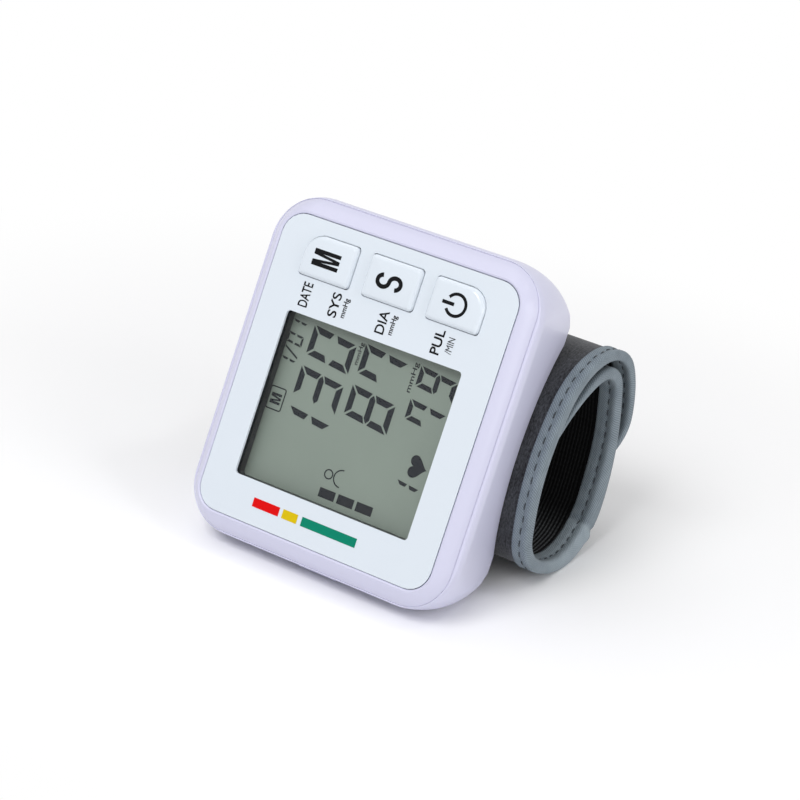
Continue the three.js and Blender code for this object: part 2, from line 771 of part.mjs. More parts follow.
const keyBack = -boardDepth + seat;
const keyFront = keyBack + keyHeight;
const plungerBack = keyBack + keyBoreFloor + buttonTravel + layerGap;
const plungerFront = plungerBack + plungerLength;
const flangeFront = floorBack - seat;
const flangeBack = flangeFront - buttonFlangeThickness;
const stemBack = plungerFront + layerGap;

for (const { name, side, x } of buttonPlaces) {
  const key = block(x - keyHalfSize, x + keyHalfSize, buttonY - keyHalfSize,
    buttonY + keyHalfSize, keyBack, keyFront);
  place(`${name}_switch`, key.subtract(rodZ(plungerRadius + fit, keyBack + keyBoreFloor,
    keyFront + overrun, x, buttonY)), 'black');
  place(`${name}_plunger`, rodZ(plungerRadius, plungerBack, plungerFront, x, buttonY), 'natural');

  const body = loft([
    buttonOutline(x, side, -buttonBevel, buttonProud),
    buttonOutline(x, side, 0, buttonProud - buttonBevel),
    buttonOutline(x, side, 0, flangeBack),
  ]);
  const flange = block(x - buttonHalfWidth - buttonFlange, x + buttonHalfWidth + buttonFlange,
    buttonY - buttonHalfHeight - buttonFlange, buttonY + buttonHalfHeight + buttonFlange,
    flangeBack, flangeFront);
  const stem = rodZ(buttonStemRadius, stemBack, flangeFront, x, buttonY);
  place(`${name}_button`, body.add(flange).add(stem), 'white');
}

place('main_chip', roundedSlab(chipHalfSize, chipHalfSize, windowCorner,
  boardBack - seat - chipHeight, boardBack - seat, chipX, chipY), 'black');

const buzzerBack = boardBack - seat - buzzerHeight;
place('buzzer', rodZ(buzzerRadius, buzzerBack, boardBack - seat, buzzerX, buzzerY)
  .subtract(rodZ(buzzerHoleRadius, buzzerBack - overrun, buzzerBack + buzzerHeight / 2,
    buzzerX, buzzerY)), 'black');

// Battery cells, contacts and springs

const contactFace = bayHalfLength - seat - contactThickness;
const cellTip = contactFace - seat;
const cellTail = cellTip - cellLength;
const springLength = contactFace - seat + cellTail - seat;

function cell(sign, y, depth) {
  return turnedX([
    [sign * cellTail, 0],
    [sign * cellTail, cellRadius - cellEdge],
    [sign * (cellTail + cellEdge), cellRadius],
    [sign * (cellTip - cellNubLength - cellEdge), cellRadius],
    [sign * (cellTip - cellNubLength), cellRadius - cellEdge],
    [sign * (cellTip - cellNubLength), cellNubRadius],
    [sign * cellTip, cellNubRadius],
    [sign * cellTip, 0],
  ], y, -depth);
}

// A coil spring along x: flat ends, a round wire and a steady pitch
function coil(start, end, y, z) {
  const rings = [];
  const steps = springTurns * springSteps;
  for (let step = 0; step <= steps; step += 1) {
    const share = step / steps;
    const turn = share * springTurns * 2 * Math.PI;
    const along = THREE.MathUtils.lerp(start, end, share);
    const outward = new THREE.Vector3(0, Math.cos(turn), Math.sin(turn));
    const centre = outward.clone().multiplyScalar(springRadius)
      .add(new THREE.Vector3(along, y, z));
    const section = [];
    for (let side = 0; side < springSides; side += 1) {
      const angle = side / springSides * 2 * Math.PI;
      section.push(centre.clone()
        .addScaledVector(outward, springWire * Math.cos(angle))
        .addScaledVector(new THREE.Vector3(1, 0, 0), springWire * Math.sin(angle)));
    }
    rings.push(section);
  }
  return loft(rings);
}

function springAt(sign, y, depth) {
  const near = sign * (cellTail - seat - springWire);
  return coil(near, near - sign * (springLength - 2 * springWire), y, -depth);
}

place('rear_cell', cell(1, rearCellY, rearCellDepth), 'cell');
place('front_cell', cell(-1, frontCellY, frontCellDepth), 'cell');
place('rear_cell_spring', springAt(1, rearCellY, rearCellDepth), 'nickel');
place('front_cell_spring', springAt(-1, frontCellY, frontCellDepth), 'nickel');

function contact(sign, y, depth) {
  return block(Math.min(sign * contactFace, sign * (contactFace + contactThickness)),
    Math.max(sign * contactFace, sign * (contactFace + contactThickness)),
    y - contactHalfSize, y + contactHalfSize, -depth - contactHalfSize, -depth + contactHalfSize);
}

const plusContact = contact(1, rearCellY, rearCellDepth);
place('plus_contact', plusContact, 'nickel');
place('minus_contact', contact(1, frontCellY, frontCellDepth), 'nickel');
const bridgeLink = block(-contactFace - contactThickness, -contactFace,
  rearCellY, frontCellY, -rearCellDepth, -frontCellDepth);
place('contact_bridge', contact(-1, rearCellY, rearCellDepth)
  .add(contact(-1, frontCellY, frontCellDepth)).add(bridgeLink), 'nickel');

// Air pump: motor, shaft with its eccentric, and pump head

const motorFront = motorBack + motorLength;
const noseFront = motorFront + motorNoseLength;
const pumpZ = -pumpDepth;
const headStart = motorFront + seat;
const shaftStart = motorFront - shaftBore + seat;
const shaftEnd = shaftStart + shaftLength;
let motor = rodX(motorRadius, motorBack, motorFront, pumpY, pumpZ)
  .add(rodX(motorNoseRadius, motorFront - seat, noseFront, pumpY, pumpZ));
motor = motor.subtract(rodX(shaftRadius + shaftGap, motorFront - shaftBore,
  noseFront + overrun, pumpY, pumpZ));
place('motor_can', motor, 'steel');
place('motor_cap', rodX(motorCapRadius, motorBack - seat - motorCapThickness, motorBack - seat,
  pumpY, pumpZ), 'black');

const crankStart = headStart + pumpHeadWall + fit;
const crank = rodX(crankRadius, crankStart, crankStart + crankThickness,
  pumpY - crankThrow, pumpZ).subtract(rodX(shaftRadius + shaftGap, crankStart - overrun,
  crankStart + crankThickness + overrun, pumpY, pumpZ));
place('motor_shaft', rodX(shaftRadius, shaftStart, shaftEnd, pumpY, pumpZ), 'steel');
place('eccentric', crank, 'brass');

const headEnd = headStart + pumpHeadLength;
let head = rodX(pumpHeadRadius, headStart, headEnd, pumpY, pumpZ);
head = head.subtract(rodX(pumpHeadRadius - pumpHeadWall, headStart + pumpHeadWall,
  headEnd + overrun, pumpY, pumpZ));
head = head.subtract(rodX(motorNoseRadius + fit, headStart - overrun, headStart + overrun,
  pumpY, pumpZ));
place('pump_head', head, 'natural');
place('pump_diaphragm', rodX(pumpHeadRadius - pumpHeadWall - fit,
  headEnd - diaphragmThickness - seat, headEnd - seat, pumpY, pumpZ), 'rubber');

const coverStart = headEnd + seat;
const coverEnd = coverStart + pumpCoverThickness;
const pumpPortX = coverEnd + portLength;
place('pump_cover', rodX(pumpHeadRadius, coverStart, coverEnd, pumpY, pumpZ)
  .add(rodX(portRadius, coverStart + seat, pumpPortX, pumpY, pumpZ)), 'natural');

// Air line: manifold, valve, pressure sensor and hoses

const lineZ = -lineDepth;
const manifoldTop = lineY + manifoldHalfSize;
const sensorPortX = manifoldX - manifoldPortSpread;
const pumpLineX = manifoldX + manifoldPortSpread;
let manifold = block(manifoldX - manifoldHalfLength, manifoldX + manifoldHalfLength,
  lineY - manifoldHalfSize, manifoldTop, lineZ - manifoldHalfSize, lineZ + manifoldHalfSize);
manifold = manifold.add(rodX(portRadius, manifoldX - manifoldHalfLength - portLength,
  manifoldX + manifoldHalfLength + portLength, lineY, lineZ));
for (const x of [sensorPortX, pumpLineX]) {
  manifold = manifold.add(rodY(portRadius, lineY, manifoldTop + portLength, x, lineZ));
}
place('air_manifold', manifold, 'natural');

const sensorBottom = sensorY - sensorHalfSize;
const sensorFront = boardBack - seat;
place('pressure_sensor', block(sensorPortX - sensorHalfSize, sensorPortX + sensorHalfSize,
  sensorBottom, sensorY + sensorHalfSize, sensorFront - sensorHeight, sensorFront)
  .add(rodY(portRadius, sensorBottom - portLength, sensorY, sensorPortX, lineZ)), 'black');

const valveEnd = valveStart + valveLength;
const valveZ = -valveDepth;
const plungerBore = valvePlungerRadius + shaftGap;
let valve = rodX(valveRadius, valveStart, valveEnd, lineY, valveZ)
  .add(rodX(portRadius, valveStart - portLength, valveStart + seat, lineY, lineZ));
valve = valve.subtract(rodX(plungerBore, valveEnd + valvePlungerOut - valvePlungerLength
  - valveTravel - fit, valveEnd + overrun, lineY, valveZ));
place('release_valve', valve, 'steel');
place('valve_plunger', rodX(valvePlungerRadius, valveEnd + valvePlungerOut - valvePlungerLength,
  valveEnd + valvePlungerOut, lineY, valveZ), 'brass');

function hose(points, steps = hoseSteps) {
  const path = new THREE.CatmullRomCurve3(points.map((point) => new THREE.Vector3(...point)));
  const frames = path.computeFrenetFrames(steps, false);
  const skin = (radius, reach) => {
    const rings = [];
    for (let step = 0; step <= steps; step += 1) {
      const centre = path.getPointAt(step / steps);
      if (step === 0) centre.addScaledVector(frames.tangents[0], -reach);
      if (step === steps) centre.addScaledVector(frames.tangents[steps], reach);
      const section = [];
      for (let side = 0; side < 2 * hoseSides; side += 1) {
        const turn = side / hoseSides * Math.PI;
        section.push(centre.clone()
          .addScaledVector(frames.normals[step], radius * Math.cos(turn))
          .addScaledVector(frames.binormals[step], radius * Math.sin(turn)));
      }
      rings.push(section);
    }
    return loft(rings);
  };
  return skin(hoseBore + hoseWall, 0).subtract(skin(hoseBore, overrun));
}

// A point of a hose's route, a few shares of a bend away from a port
function bendFrom(x, y, z, [shareX, shareY, shareZ]) {
  return [x + shareX * hoseBend, y + shareY * hoseBend, z + shareZ * hoseBend];
}

const portTop = manifoldTop + portLength;
const manifoldLeft = manifoldX - manifoldHalfLength;
place('sensor_hose', hose([
  [sensorPortX, manifoldTop + hoseEnd, lineZ],
  [sensorPortX, sensorBottom - hoseEnd, lineZ],
], 1), 'hose');
place('valve_hose', hose([
  [manifoldX + manifoldHalfLength + hoseEnd, lineY, lineZ],
  [valveStart - hoseEnd, lineY, lineZ],
], 1), 'hose');
place('pump_hose', hose([
  [coverEnd + hoseEnd, pumpY, pumpZ],
  [pumpPortX, pumpY, pumpZ],
  ...pumpHoseLeaves.map((share) => bendFrom(pumpPortX, pumpY, pumpZ, share)),
  ...pumpHoseArrives.map((share) => bendFrom(pumpLineX, portTop, lineZ, share)),
  [pumpLineX, portTop, lineZ],
  [pumpLineX, manifoldTop + hoseEnd, lineZ],
]), 'hose');
const nippleHoseDepth = -archZ(nippleY) - archWall - hoseEnd;
place('cuff_hose', hose([
  [manifoldLeft - hoseEnd, lineY, lineZ],
  [manifoldLeft - portLength, lineY, lineZ],
  bendFrom(manifoldLeft - portLength, lineY, lineZ, cuffHoseLeaves),
  ...cuffHoseArrives.map((share) => bendFrom(nippleX, nippleY, lineZ, share)),
  [nippleX, nippleY, -nippleHoseDepth],
], shortHoseSteps), 'hose');

// Cuff: layers that follow one path, wide at the middle and rounded at the free end

const inBinding = bindingThickness + layerGap;
const tapeBesideHousing = cuffHalfWidth - bindingWidth > housingHalfWidth;
const tapeProud = tapeBesideHousing ? inBinding : 0; // how far the tape may stand above the arch
const cuffRows = cuffShares.map(([up, behind, thick], row) => {
  const thickness = thick * padThickness;
  const y = up * loopHeight;
  if (row < firstOnArch || row > lastOnArch) {
    return new THREE.Vector3(thickness, y, -archDepth - behind * loopDepth);
  }
  const radius = archRadius - fit + tapeProud - thickness / 2;
  return new THREE.Vector3(thickness, y, -archCentreDepth + Math.sqrt(radius ** 2 - y ** 2));
});
const cuffPath = new THREE.CatmullRomCurve3(cuffRows);
cuffPath.arcLengthDivisions = cuffSteps * cuffSteps;
const cuffLength = cuffPath.getLength();

// Stations along the cuff between two lengths, closer together on the rounded free end
function stations(start, end, corner, cornerSteps) {
  const places = [];
  const straight = end - corner;
  const steps = Math.ceil(cuffSteps * (straight - start) / cuffLength);
  for (let step = 0; step < steps; step += 1) {
    places.push(THREE.MathUtils.lerp(start, straight, step / steps));
  }
  if (corner === 0) return [...places, end];
  for (let step = 0; step <= cornerSteps; step += 1) {
    places.push(straight + corner * Math.sin(step / cornerSteps * Math.PI / 2));
  }
  return places;
}

// One layer between an outer and an inner face, each a function of the local thickness
function cuffLayer({
  outer, inner, halfWidth, start, end, corner = 0, round = 0, cornerSteps = cuffCornerSteps,
}) {
  const rings = stations(start, end, corner, cornerSteps).map((place) => {
    const at = cuffPath.getPointAt(Math.min(place / cuffLength, 1));
    const along = cuffPath.getTangentAt(Math.min(place / cuffLength, 1));
    const outward = new THREE.Vector3(0, -along.z, along.y).normalize();
    const past = Math.max(place - (end - corner), 0);
    const reach = halfWidth - corner + Math.sqrt(Math.max(corner ** 2 - past ** 2, 0));
    const top = outer(at.x);
    const bottom = inner(at.x);
    const corners = round === 0
      ? [[reach, top], [reach, bottom], [-reach, bottom], [-reach, top]]
      : [
        [reach - round, top], [reach, top - round], [reach, bottom + round],
        [reach - round, bottom], [round - reach, bottom], [-reach, bottom + round],
        [-reach, top - round], [round - reach, top],
      ];
    return corners.map(([x, out]) => new THREE.Vector3(
      x,
      at.y + out * outward.y,
      at.z + out * outward.z,
    ));
  });
  return loft(rings);
}

const halfThick = (thickness) => thickness / 2;
const underFabric = inBinding + fabricThickness;
const underLining = inBinding + liningThickness;

// The tape folded round the edge: a closed body, less the room for the cloths and the window
function foldedTape(cornerSteps) {
  const body = cuffLayer({
    outer: halfThick,
    inner: (thickness) => -thickness / 2,
    halfWidth: cuffHalfWidth,
    start: 0,
    end: cuffLength,
    corner: cuffCorner,
    round: bindingRound,
    cornerSteps,
  });
  const room = cuffLayer({
    outer: (thickness) => thickness / 2 - bindingThickness,
    inner: (thickness) => bindingThickness - thickness / 2,
    halfWidth: cuffHalfWidth - bindingThickness,
    start: bindingThickness,
    end: cuffLength - bindingThickness,
    corner: cuffCorner - bindingThickness,
    cornerSteps,
  });
  const window = cuffLayer({
    outer: (thickness) => thickness,
    inner: (thickness) => -thickness,
    halfWidth: cuffHalfWidth - bindingWidth,
    start: bindingWidth,
    end: cuffLength - bindingWidth,
    corner: cuffCorner - bindingWidth,
    cornerSteps,
  });
  return body.subtract(room).subtract(window);
}

const leftTape = foldedTape(cuffCornerSteps);
const rightTape = foldedTape(rightCornerSteps);

// Cloth that the binding folds over
function clothLayer(outer, inner) {
  return cuffLayer({
    outer,
    inner,
    halfWidth: cuffHalfWidth - inBinding,
    start: inBinding,
    end: cuffLength - inBinding,
    corner: cuffCorner - inBinding,
  });
}

let outerFabric = clothLayer(
  (thickness) => thickness / 2 - inBinding,
  (thickness) => thickness / 2 - underFabric,
);
const lining = clothLayer(
  (thickness) => underLining - thickness / 2,
  (thickness) => inBinding - thickness / 2,
);

// Pieces between the two cloths
const coreOuter = (thickness) => thickness / 2 - underFabric - layerGap;
const coreInner = (thickness) => underLining + layerGap - thickness / 2;
let bladder = cuffLayer({
  outer: coreOuter,
  inner: coreInner,
  halfWidth: bladderHalfWidth,
  start: bladderStart * cuffLength,
  end: bladderEnd * cuffLength,
});
let clipPlate = cuffLayer({
  outer: coreOuter,
  inner: coreInner,
  halfWidth: clipHalfWidth,
  start: clipStart * cuffLength,
  end: clipEnd * cuffLength,
});
const hookPad = cuffLayer({
  outer: (thickness) => inBinding - layerGap - thickness / 2,
  inner: (thickness) => inBinding - layerGap - hookPadThickness - thickness / 2,
  halfWidth: hookPadHalfWidth,
  start: hookPadStart * cuffLength,
  end: hookPadEnd * cuffLength,
});

// Hooks and nipple reach through the outer fabric into the housing
const hookRoot = 2 * inBinding - tapeProud + fabricThickness + layerGap + liningThickness;
const cuffMiddle = (y) => archZ(y) - hookRoot;
for (const { x, y } of hookPlaces) {
  const tip = archZ(y) + archWall + fit + hookLip + hookLipThickness;
  const post = block(x - hookHalfWidth, x + hookHalfWidth, y - hookHalfHeight,
    y + hookHalfHeight, cuffMiddle(y), tip);
  const lip = block(x - hookHalfWidth, x + hookHalfWidth, y - hookHalfHeight,
    y + hookHalfHeight + hookLip, tip - hookLipThickness, tip);
  clipPlate = clipPlate.add(post).add(lip);
  outerFabric = outerFabric.subtract(block(x - hookHalfWidth - fit, x + hookHalfWidth + fit,
    y - hookHalfHeight - fit, y + hookHalfHeight + fit, cuffMiddle(y), archZ(y)));
}
bladder = bladder.add(rodZ(portRadius, cuffMiddle(nippleY), -nippleTipDepth, nippleX, nippleY));
outerFabric = outerFabric.subtract(rodZ(portRadius + fit, cuffMiddle(nippleY),
  archZ(nippleY), nippleX, nippleY));
place('outer_fabric', outerFabric, 'fabric');
place('cuff_lining', lining, 'lining');
place('air_bladder', bladder, 'bladder');
place('clip_plate', clipPlate, 'black');
place('hook_pad', hookPad, 'black');

// Lean back until the door's ridge and the cuff's edge stand on one floor

const standing = [housingOutside, door];
function lowest(solids, lean) {
  let low = Infinity;
  for (const solid of solids) {
    const { vertProperties } = solid.getMesh();
    for (let i = 0; i < vertProperties.length; i += 3) {
      const height = vertProperties[i + 1] * Math.cos(lean) + vertProperties[i + 2] * Math.sin(lean);
      low = Math.min(low, height);
    }
  }
  return low;
}

let [leanLow, leanHigh] = leanSearch;
for (let step = 0; step < leanSteps; step += 1) {
  const middle = (leanLow + leanHigh) / 2;
  const cuffHigher = lowest([leftTape, rightTape], middle) + restFlat > lowest(standing, middle);
  if (cuffHigher) leanLow = middle;
  else leanHigh = middle;
}
const lean = (leanLow + leanHigh) / 2;
const floorHeight = lowest(standing, lean);

// Flatten the binding where it stands, then part it into two lengths that meet in the middle
const upright = new THREE.Matrix4().makeRotationX(Math.PI / 2 - lean);
const floorSize = 2 * housingHalfHeight + loopDepth;
const floorGeometry = new THREE.BoxGeometry(floorSize, 2 * floorSize, overrun);
floorGeometry.translate(0, 0, floorHeight - overrun / 2);
floorGeometry.applyMatrix4(upright.clone().invert());
const floorTool = toSolid(floorGeometry);
for (const [name, sign, tape] of [['left', -1, leftTape], ['right', 1, rightTape]]) {
  const half = [sign * bindingJoin / 2, sign * (cuffHalfWidth + overrun)].sort((a, b) => a - b);
  place(`binding_${name}`, tape.subtract(floorTool).intersect(block(half[0], half[1],
    -floorSize, floorSize, -floorSize, floorSize)), 'binding');
}

monitor.rotation.x = Math.PI / 2 - lean;
monitor.updateMatrixWorld(true);
const bounds = new THREE.Box3().setFromObject(monitor, true);
const centre = bounds.getCenter(new THREE.Vector3());
monitor.position.set(-centre.x, -centre.y, -bounds.min.z);
monitor.updateMatrixWorld(true);

export default monitor;
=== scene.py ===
# %% [markdown]
# # A wrist blood pressure monitor
# The hard parts of the monitor come from CAD: housing, face plate, buttons, display and all that
# is inside. This lesson dresses them: moulded plastic, a printed face, liquid crystal digits, and
# a padded cloth cuff with its bound and stitched edges. The CAD model is loaded first, because
# every new piece is placed by what it finds there.

# %% Load the CAD model
import json
import math

import bpy
import numpy as np
from mathutils import Matrix, Vector


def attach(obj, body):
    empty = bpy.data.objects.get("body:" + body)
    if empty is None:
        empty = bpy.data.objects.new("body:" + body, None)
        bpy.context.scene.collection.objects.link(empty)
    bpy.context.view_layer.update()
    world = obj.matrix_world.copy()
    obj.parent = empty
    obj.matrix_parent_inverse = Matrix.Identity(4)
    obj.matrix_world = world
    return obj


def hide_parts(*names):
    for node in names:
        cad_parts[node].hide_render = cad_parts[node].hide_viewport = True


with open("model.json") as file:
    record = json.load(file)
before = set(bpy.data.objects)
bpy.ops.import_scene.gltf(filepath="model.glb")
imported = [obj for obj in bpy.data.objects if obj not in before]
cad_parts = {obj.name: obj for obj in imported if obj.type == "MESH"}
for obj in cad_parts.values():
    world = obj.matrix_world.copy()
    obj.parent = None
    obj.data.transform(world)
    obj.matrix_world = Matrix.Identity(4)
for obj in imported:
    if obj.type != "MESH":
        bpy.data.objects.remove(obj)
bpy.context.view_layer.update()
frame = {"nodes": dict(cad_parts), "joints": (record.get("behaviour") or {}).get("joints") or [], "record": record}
MM = 0.001

# %% [markdown]
# ## The face as a ruler
# The monitor leans back, so sizes read off its face would be awkward in upright coordinates.
# A matrix with the face's own axes solves this: x runs along the wrist, y up the face and z out
# of it, from the middle of the white plate. The buttons press straight into the face, so their
# joint gives the z axis, and the plate's own vertices give the middle.

# %% Axes of the face
press = next(j for j in frame["joints"] if j["name"] == "memory_press")
outward = -Vector(press["axis"]).normalized()
sideways = Vector((1, 0, 0))
upward = outward.cross(sideways)


def read_points(obj):
    """The vertices of an object's mesh, one row each."""
    flat = np.empty(3 * len(obj.data.vertices))
    obj.data.vertices.foreach_get("co", flat)
    return flat.reshape(-1, 3)


def reach_of(name, axis):
    """How low and how high a CAD node reaches along an axis."""
    reach = read_points(frame["nodes"][name]) @ np.array(axis)
    return reach.min(), reach.max()


plate_front = reach_of("face_plate", outward)[1]
FACE = Matrix((sideways, upward, outward)).transposed().to_4x4()
FACE.translation = (
    sum(reach_of("face_plate", sideways)) / 2 * sideways
    + sum(reach_of("face_plate", upward)) / 2 * upward
    + plate_front * outward
)


def on_face(x, y, z):
    """A point given in millimetres on the face, as a place in the scene."""
    return FACE @ (Vector((x, y, z)) * MM)


print("face leans back", round(math.degrees(math.asin(outward.z)), 1), "degrees")

# %% [markdown]
# ## Camera
# The photograph looks at the face from above and from its right. The lens is long, so the
# camera stands half a metre away. It aims at a point near the middle of the face, and rolls
# a little, as a hand-held camera does.

# %% Camera
CAMERA_PLACE = (255.9, 44.6, 479.1)
CAMERA_AIM = (10.4, 3.0, 0.0)
CAMERA_ROLL = 6.756
LENS = 114.66
SENSOR = 36

camera_data = bpy.data.cameras.new("camera")
camera_data.lens = LENS
camera_data.sensor_width = SENSOR
camera = bpy.data.objects.new("camera", camera_data)
bpy.context.scene.collection.objects.link(camera)
camera_at = on_face(*CAMERA_PLACE)
camera_aim = on_face(*CAMERA_AIM)
level = (camera_aim - camera_at).to_track_quat("-Z", "Y").to_matrix().to_4x4()
camera.matrix_world = (
    Matrix.Translation(camera_at) @ level @ Matrix.Rotation(math.radians(CAMERA_ROLL), 4, "Z")
)
bpy.context.scene.camera = camera
print("camera", [round(v, 3) for v in camera_at])

# %% [markdown]
# ## Shader sums in plain Python
# Procedural materials are long chains of Math nodes, which are hard to read as node calls.
# Here a Wire stands for one socket, and +, -, *, / and ** on a Wire add the Math nodes. Everything
# else goes through one method, Finish.node, which takes the node's type, its settings and the
# values or Wires of its sockets.

# %% Wire and Finish


class Wire:
    """An output socket that Python's operators can do sums with."""

    def __init__(self, finish, socket):
        self.finish = finish
        self.socket = socket

    def sum_with(self, operation, *others):
        values = dict(enumerate((self, *others)))
        return self.finish.node("ShaderNodeMath", {"operation": operation}, values)

    def __add__(self, other):
        return self.sum_with("ADD", other)

    def __mul__(self, other):
        return self.sum_with("MULTIPLY", other)

    def __sub__(self, other):
        return self.sum_with("SUBTRACT", other)

    def __truediv__(self, other):
        return self.sum_with("DIVIDE", other)

    def __pow__(self, other):
        return self.sum_with("POWER", other)

    def __abs__(self):
        return self.sum_with("ABSOLUTE")

    def wave(self, pitch):
        return (self * (2 * math.pi / pitch)).sum_with("SINE")

    def repeat(self, period):
        """Distance into the present repeat, from 0 to the period."""
        return self.sum_with("FLOORED_MODULO", period)

    def ramp(self, low, high):
        """0 at low and 1 at high, smooth between them."""
        settings = {"interpolation_type": "SMOOTHSTEP"}
        return self.finish.node(
            "ShaderNodeMapRange", settings, {"Value": self, "From Min": low, "From Max": high}
        )


class Finish:
    """A material being wired up around one Principled BSDF."""

    def __init__(self, name, **sockets):
        self.material = bpy.data.materials.new(name)
        self.material.use_nodes = True
        self.tree = self.material.node_tree
        self.tree.nodes.clear()
        self.output = self.tree.nodes.new("ShaderNodeOutputMaterial")
        self.surface = self.tree.nodes.new("ShaderNodeBsdfPrincipled")
        self.tree.links.new(self.surface.outputs[0], self.output.inputs["Surface"])
        self.set(**sockets)

    def node(self, kind, settings=None, values=None, out=0):
        made = self.tree.nodes.new(kind)
        for setting, value in (settings or {}).items():
            setattr(made, setting, value)
        for socket, value in (values or {}).items():
            self.feed(made.inputs[socket], value)
        return Wire(self, made.outputs[out])

    def feed(self, socket, value):
        if isinstance(value, Wire):
            self.tree.links.new(value.socket, socket)
        elif isinstance(value, tuple) and socket.type == "RGBA" and len(value) == 3:
            socket.default_value = (*value, 1)
        else:
            socket.default_value = value

    def set(self, **sockets):
        for name, value in sockets.items():
            self.feed(self.surface.inputs[name.replace("_", " ")], value)

    def place(self, scale=(1, 1, 1)):
        """Object coordinates, stretched."""
        where = self.node("ShaderNodeTexCoord", out="Object")
        return self.node("ShaderNodeMapping", None, {"Vector": where, "Scale": scale})

    def axes(self, where):
        """The first two coordinates of a place."""
        first = self.node("ShaderNodeSeparateXYZ", None, {"Vector": where}, out="X")
        return first, Wire(self, first.socket.node.outputs["Y"])

    def noise(self, where, scale, detail=2.0, roughness=0.5):
        values = {"Vector": where, "Scale": scale, "Detail": detail, "Roughness": roughness}
        return self.node("ShaderNodeTexNoise", None, values)

    def blend(self, share, first, second):
        """A colour between two others."""
        settings = {"data_type": "RGBA"}
        mixed = self.node("ShaderNodeMix", settings, {"Factor": share}, out="Result")
        mixer = mixed.socket.node
        self.feed(mixer.inputs[6], first)
        self.feed(mixer.inputs[7], second)
        return Wire(self, mixer.outputs[2])

    def show(self, share, first, second):
        """Show one shader, with another over it by a share."""
        mixed = self.node("ShaderNodeMixShader", None, {"Fac": share, 1: first, 2: second})
        self.tree.links.new(mixed.socket, self.output.inputs["Surface"])

    def relief(self, height, distance):
        """Turn heights into bumps that are this many metres deep."""
        values = {"Height": height, "Distance": distance, "Strength": 1.0}
        self.set(Normal=self.node("ShaderNodeBump", None, values))


def srgb(red, green, blue):
    """A colour as a picture editor shows it, from 0 to 255, made linear."""
    shares = [value / 255 for value in (red, green, blue)]
    return tuple(s / 12.92 if s <= 0.04045 else ((s + 0.055) / 1.055) ** 2.4 for s in shares)


FINISHES = {}


def finished(slot, finish):
    """Keep a material under the slot name that the record uses."""
    FINISHES[slot] = finish.material
    return finish.material


print("shader helpers ready")

# %% [markdown]
# ## Moulded plastic
# Moulded parts are never one flat colour. Their gloss changes a little from place to place, and
# fine sparkle of the mould shows in the highlights. One function makes all of the plain plastics:
# a broad noise moves the colour and the gloss by a few percent, and a fine one gives the relief.

# %% Plastics


def moulded(slot, colour, gloss, grain=0.000006, shift=0.04, coat=0.0):
    finish = Finish(slot, Coat_Weight=coat, Coat_Roughness=0.08)
    where = finish.place()
    cloudy = finish.noise(where, 60, 3)
    fine = finish.noise(where, 2600, 1)
    shade = tuple(channel * (1 - 2 * shift) for channel in colour)
    finish.set(Base_Color=finish.blend(cloudy, shade, colour))
    finish.set(Roughness=cloudy * 0.08 + fine * 0.05 + (gloss - 0.065))
    finish.relief(fine, grain)
    return finished(slot, finish)


moulded("lilac_plastic", srgb(204, 204, 226), 0.36, grain=0.0000005, shift=0.01, coat=0.15)
moulded("white_plate", srgb(214, 222, 231), 0.2, grain=0.000001, shift=0.01, coat=0.3)
moulded("black_plastic", srgb(30, 31, 34), 0.5)
moulded("tray_plastic", srgb(236, 236, 232), 0.45)
moulded("natural_plastic", srgb(222, 222, 220), 0.5)
moulded("strip_rubber", srgb(52, 56, 62), 0.7)
moulded("hose_rubber", srgb(228, 226, 216), 0.4)
moulded("dark_rubber", srgb(38, 39, 41), 0.7)
moulded("bladder_rubber", srgb(92, 90, 86), 0.6)
print("plastics:", len(FINISHES))

# %% [markdown]
# ## Metals, board, cells and glass
# The grey-green liquid crystal panel lies behind a clear lens in the face. The others are inside
# the housing, but they still get what the real ones have: drawing marks on steel, a lacquered
# circuit board with copper tracks under the lacquer and a printed jacket on the cells.

# %% Metals


def metal(slot, colour, gloss, streak):
    finish = Finish(slot, Metallic=1.0)
    marks = finish.noise(finish.place(scale=streak), 900, 3, 0.6)
    dull = finish.noise(finish.place(), 90, 2)
    dark = tuple(channel * 0.82 for channel in colour)
    finish.set(Base_Color=finish.blend(dull, dark, colour))
    finish.set(Roughness=marks * 0.18 + (gloss - 0.05))
    finish.relief(marks, 0.000008)
    return finished(slot, finish)


metal("plain_steel", srgb(190, 192, 196), 0.3, (0.06, 1, 1))
metal("nickel_steel", srgb(205, 202, 192), 0.22, (1, 0.1, 0.1))
metal("brass", srgb(196, 160, 88), 0.28, (0.08, 1, 1))

# %% Circuit board
TRACK_PITCH = 0.0013
board = Finish("board_laminate", Coat_Weight=0.4)
across = board.axes(board.place())[0]
wander = board.noise(board.place(scale=(0.3, 1, 1)), 160, 1)
track = (across + wander * 0.01).repeat(TRACK_PITCH) / TRACK_PITCH
copper = track.ramp(0.42, 0.5) - track.ramp(0.72, 0.8)
lacquer = board.blend(copper, srgb(22, 84, 48), srgb(46, 122, 66))
board.set(Base_Color=lacquer, Roughness=copper * -0.08 + 0.42)
board.relief(copper, 0.00003)
finished("board_laminate", board)

# %% Cells
CELL_BAND = 0.0095
jacket = Finish("cell_jacket", Coat_Weight=0.6)
along = jacket.axes(jacket.place())[0]
band = abs(along).ramp(CELL_BAND, CELL_BAND + 0.0004)
scuffs = jacket.noise(jacket.place(scale=(0.2, 1, 1)), 700, 3)
jacket.set(
    Base_Color=jacket.blend(band, srgb(54, 72, 96), srgb(176, 178, 182)),
    Roughness=scuffs * 0.2 + 0.22,
    Metallic=band * 0.8,
)
jacket.relief(scuffs, 0.000006)
finished("cell_jacket", jacket)

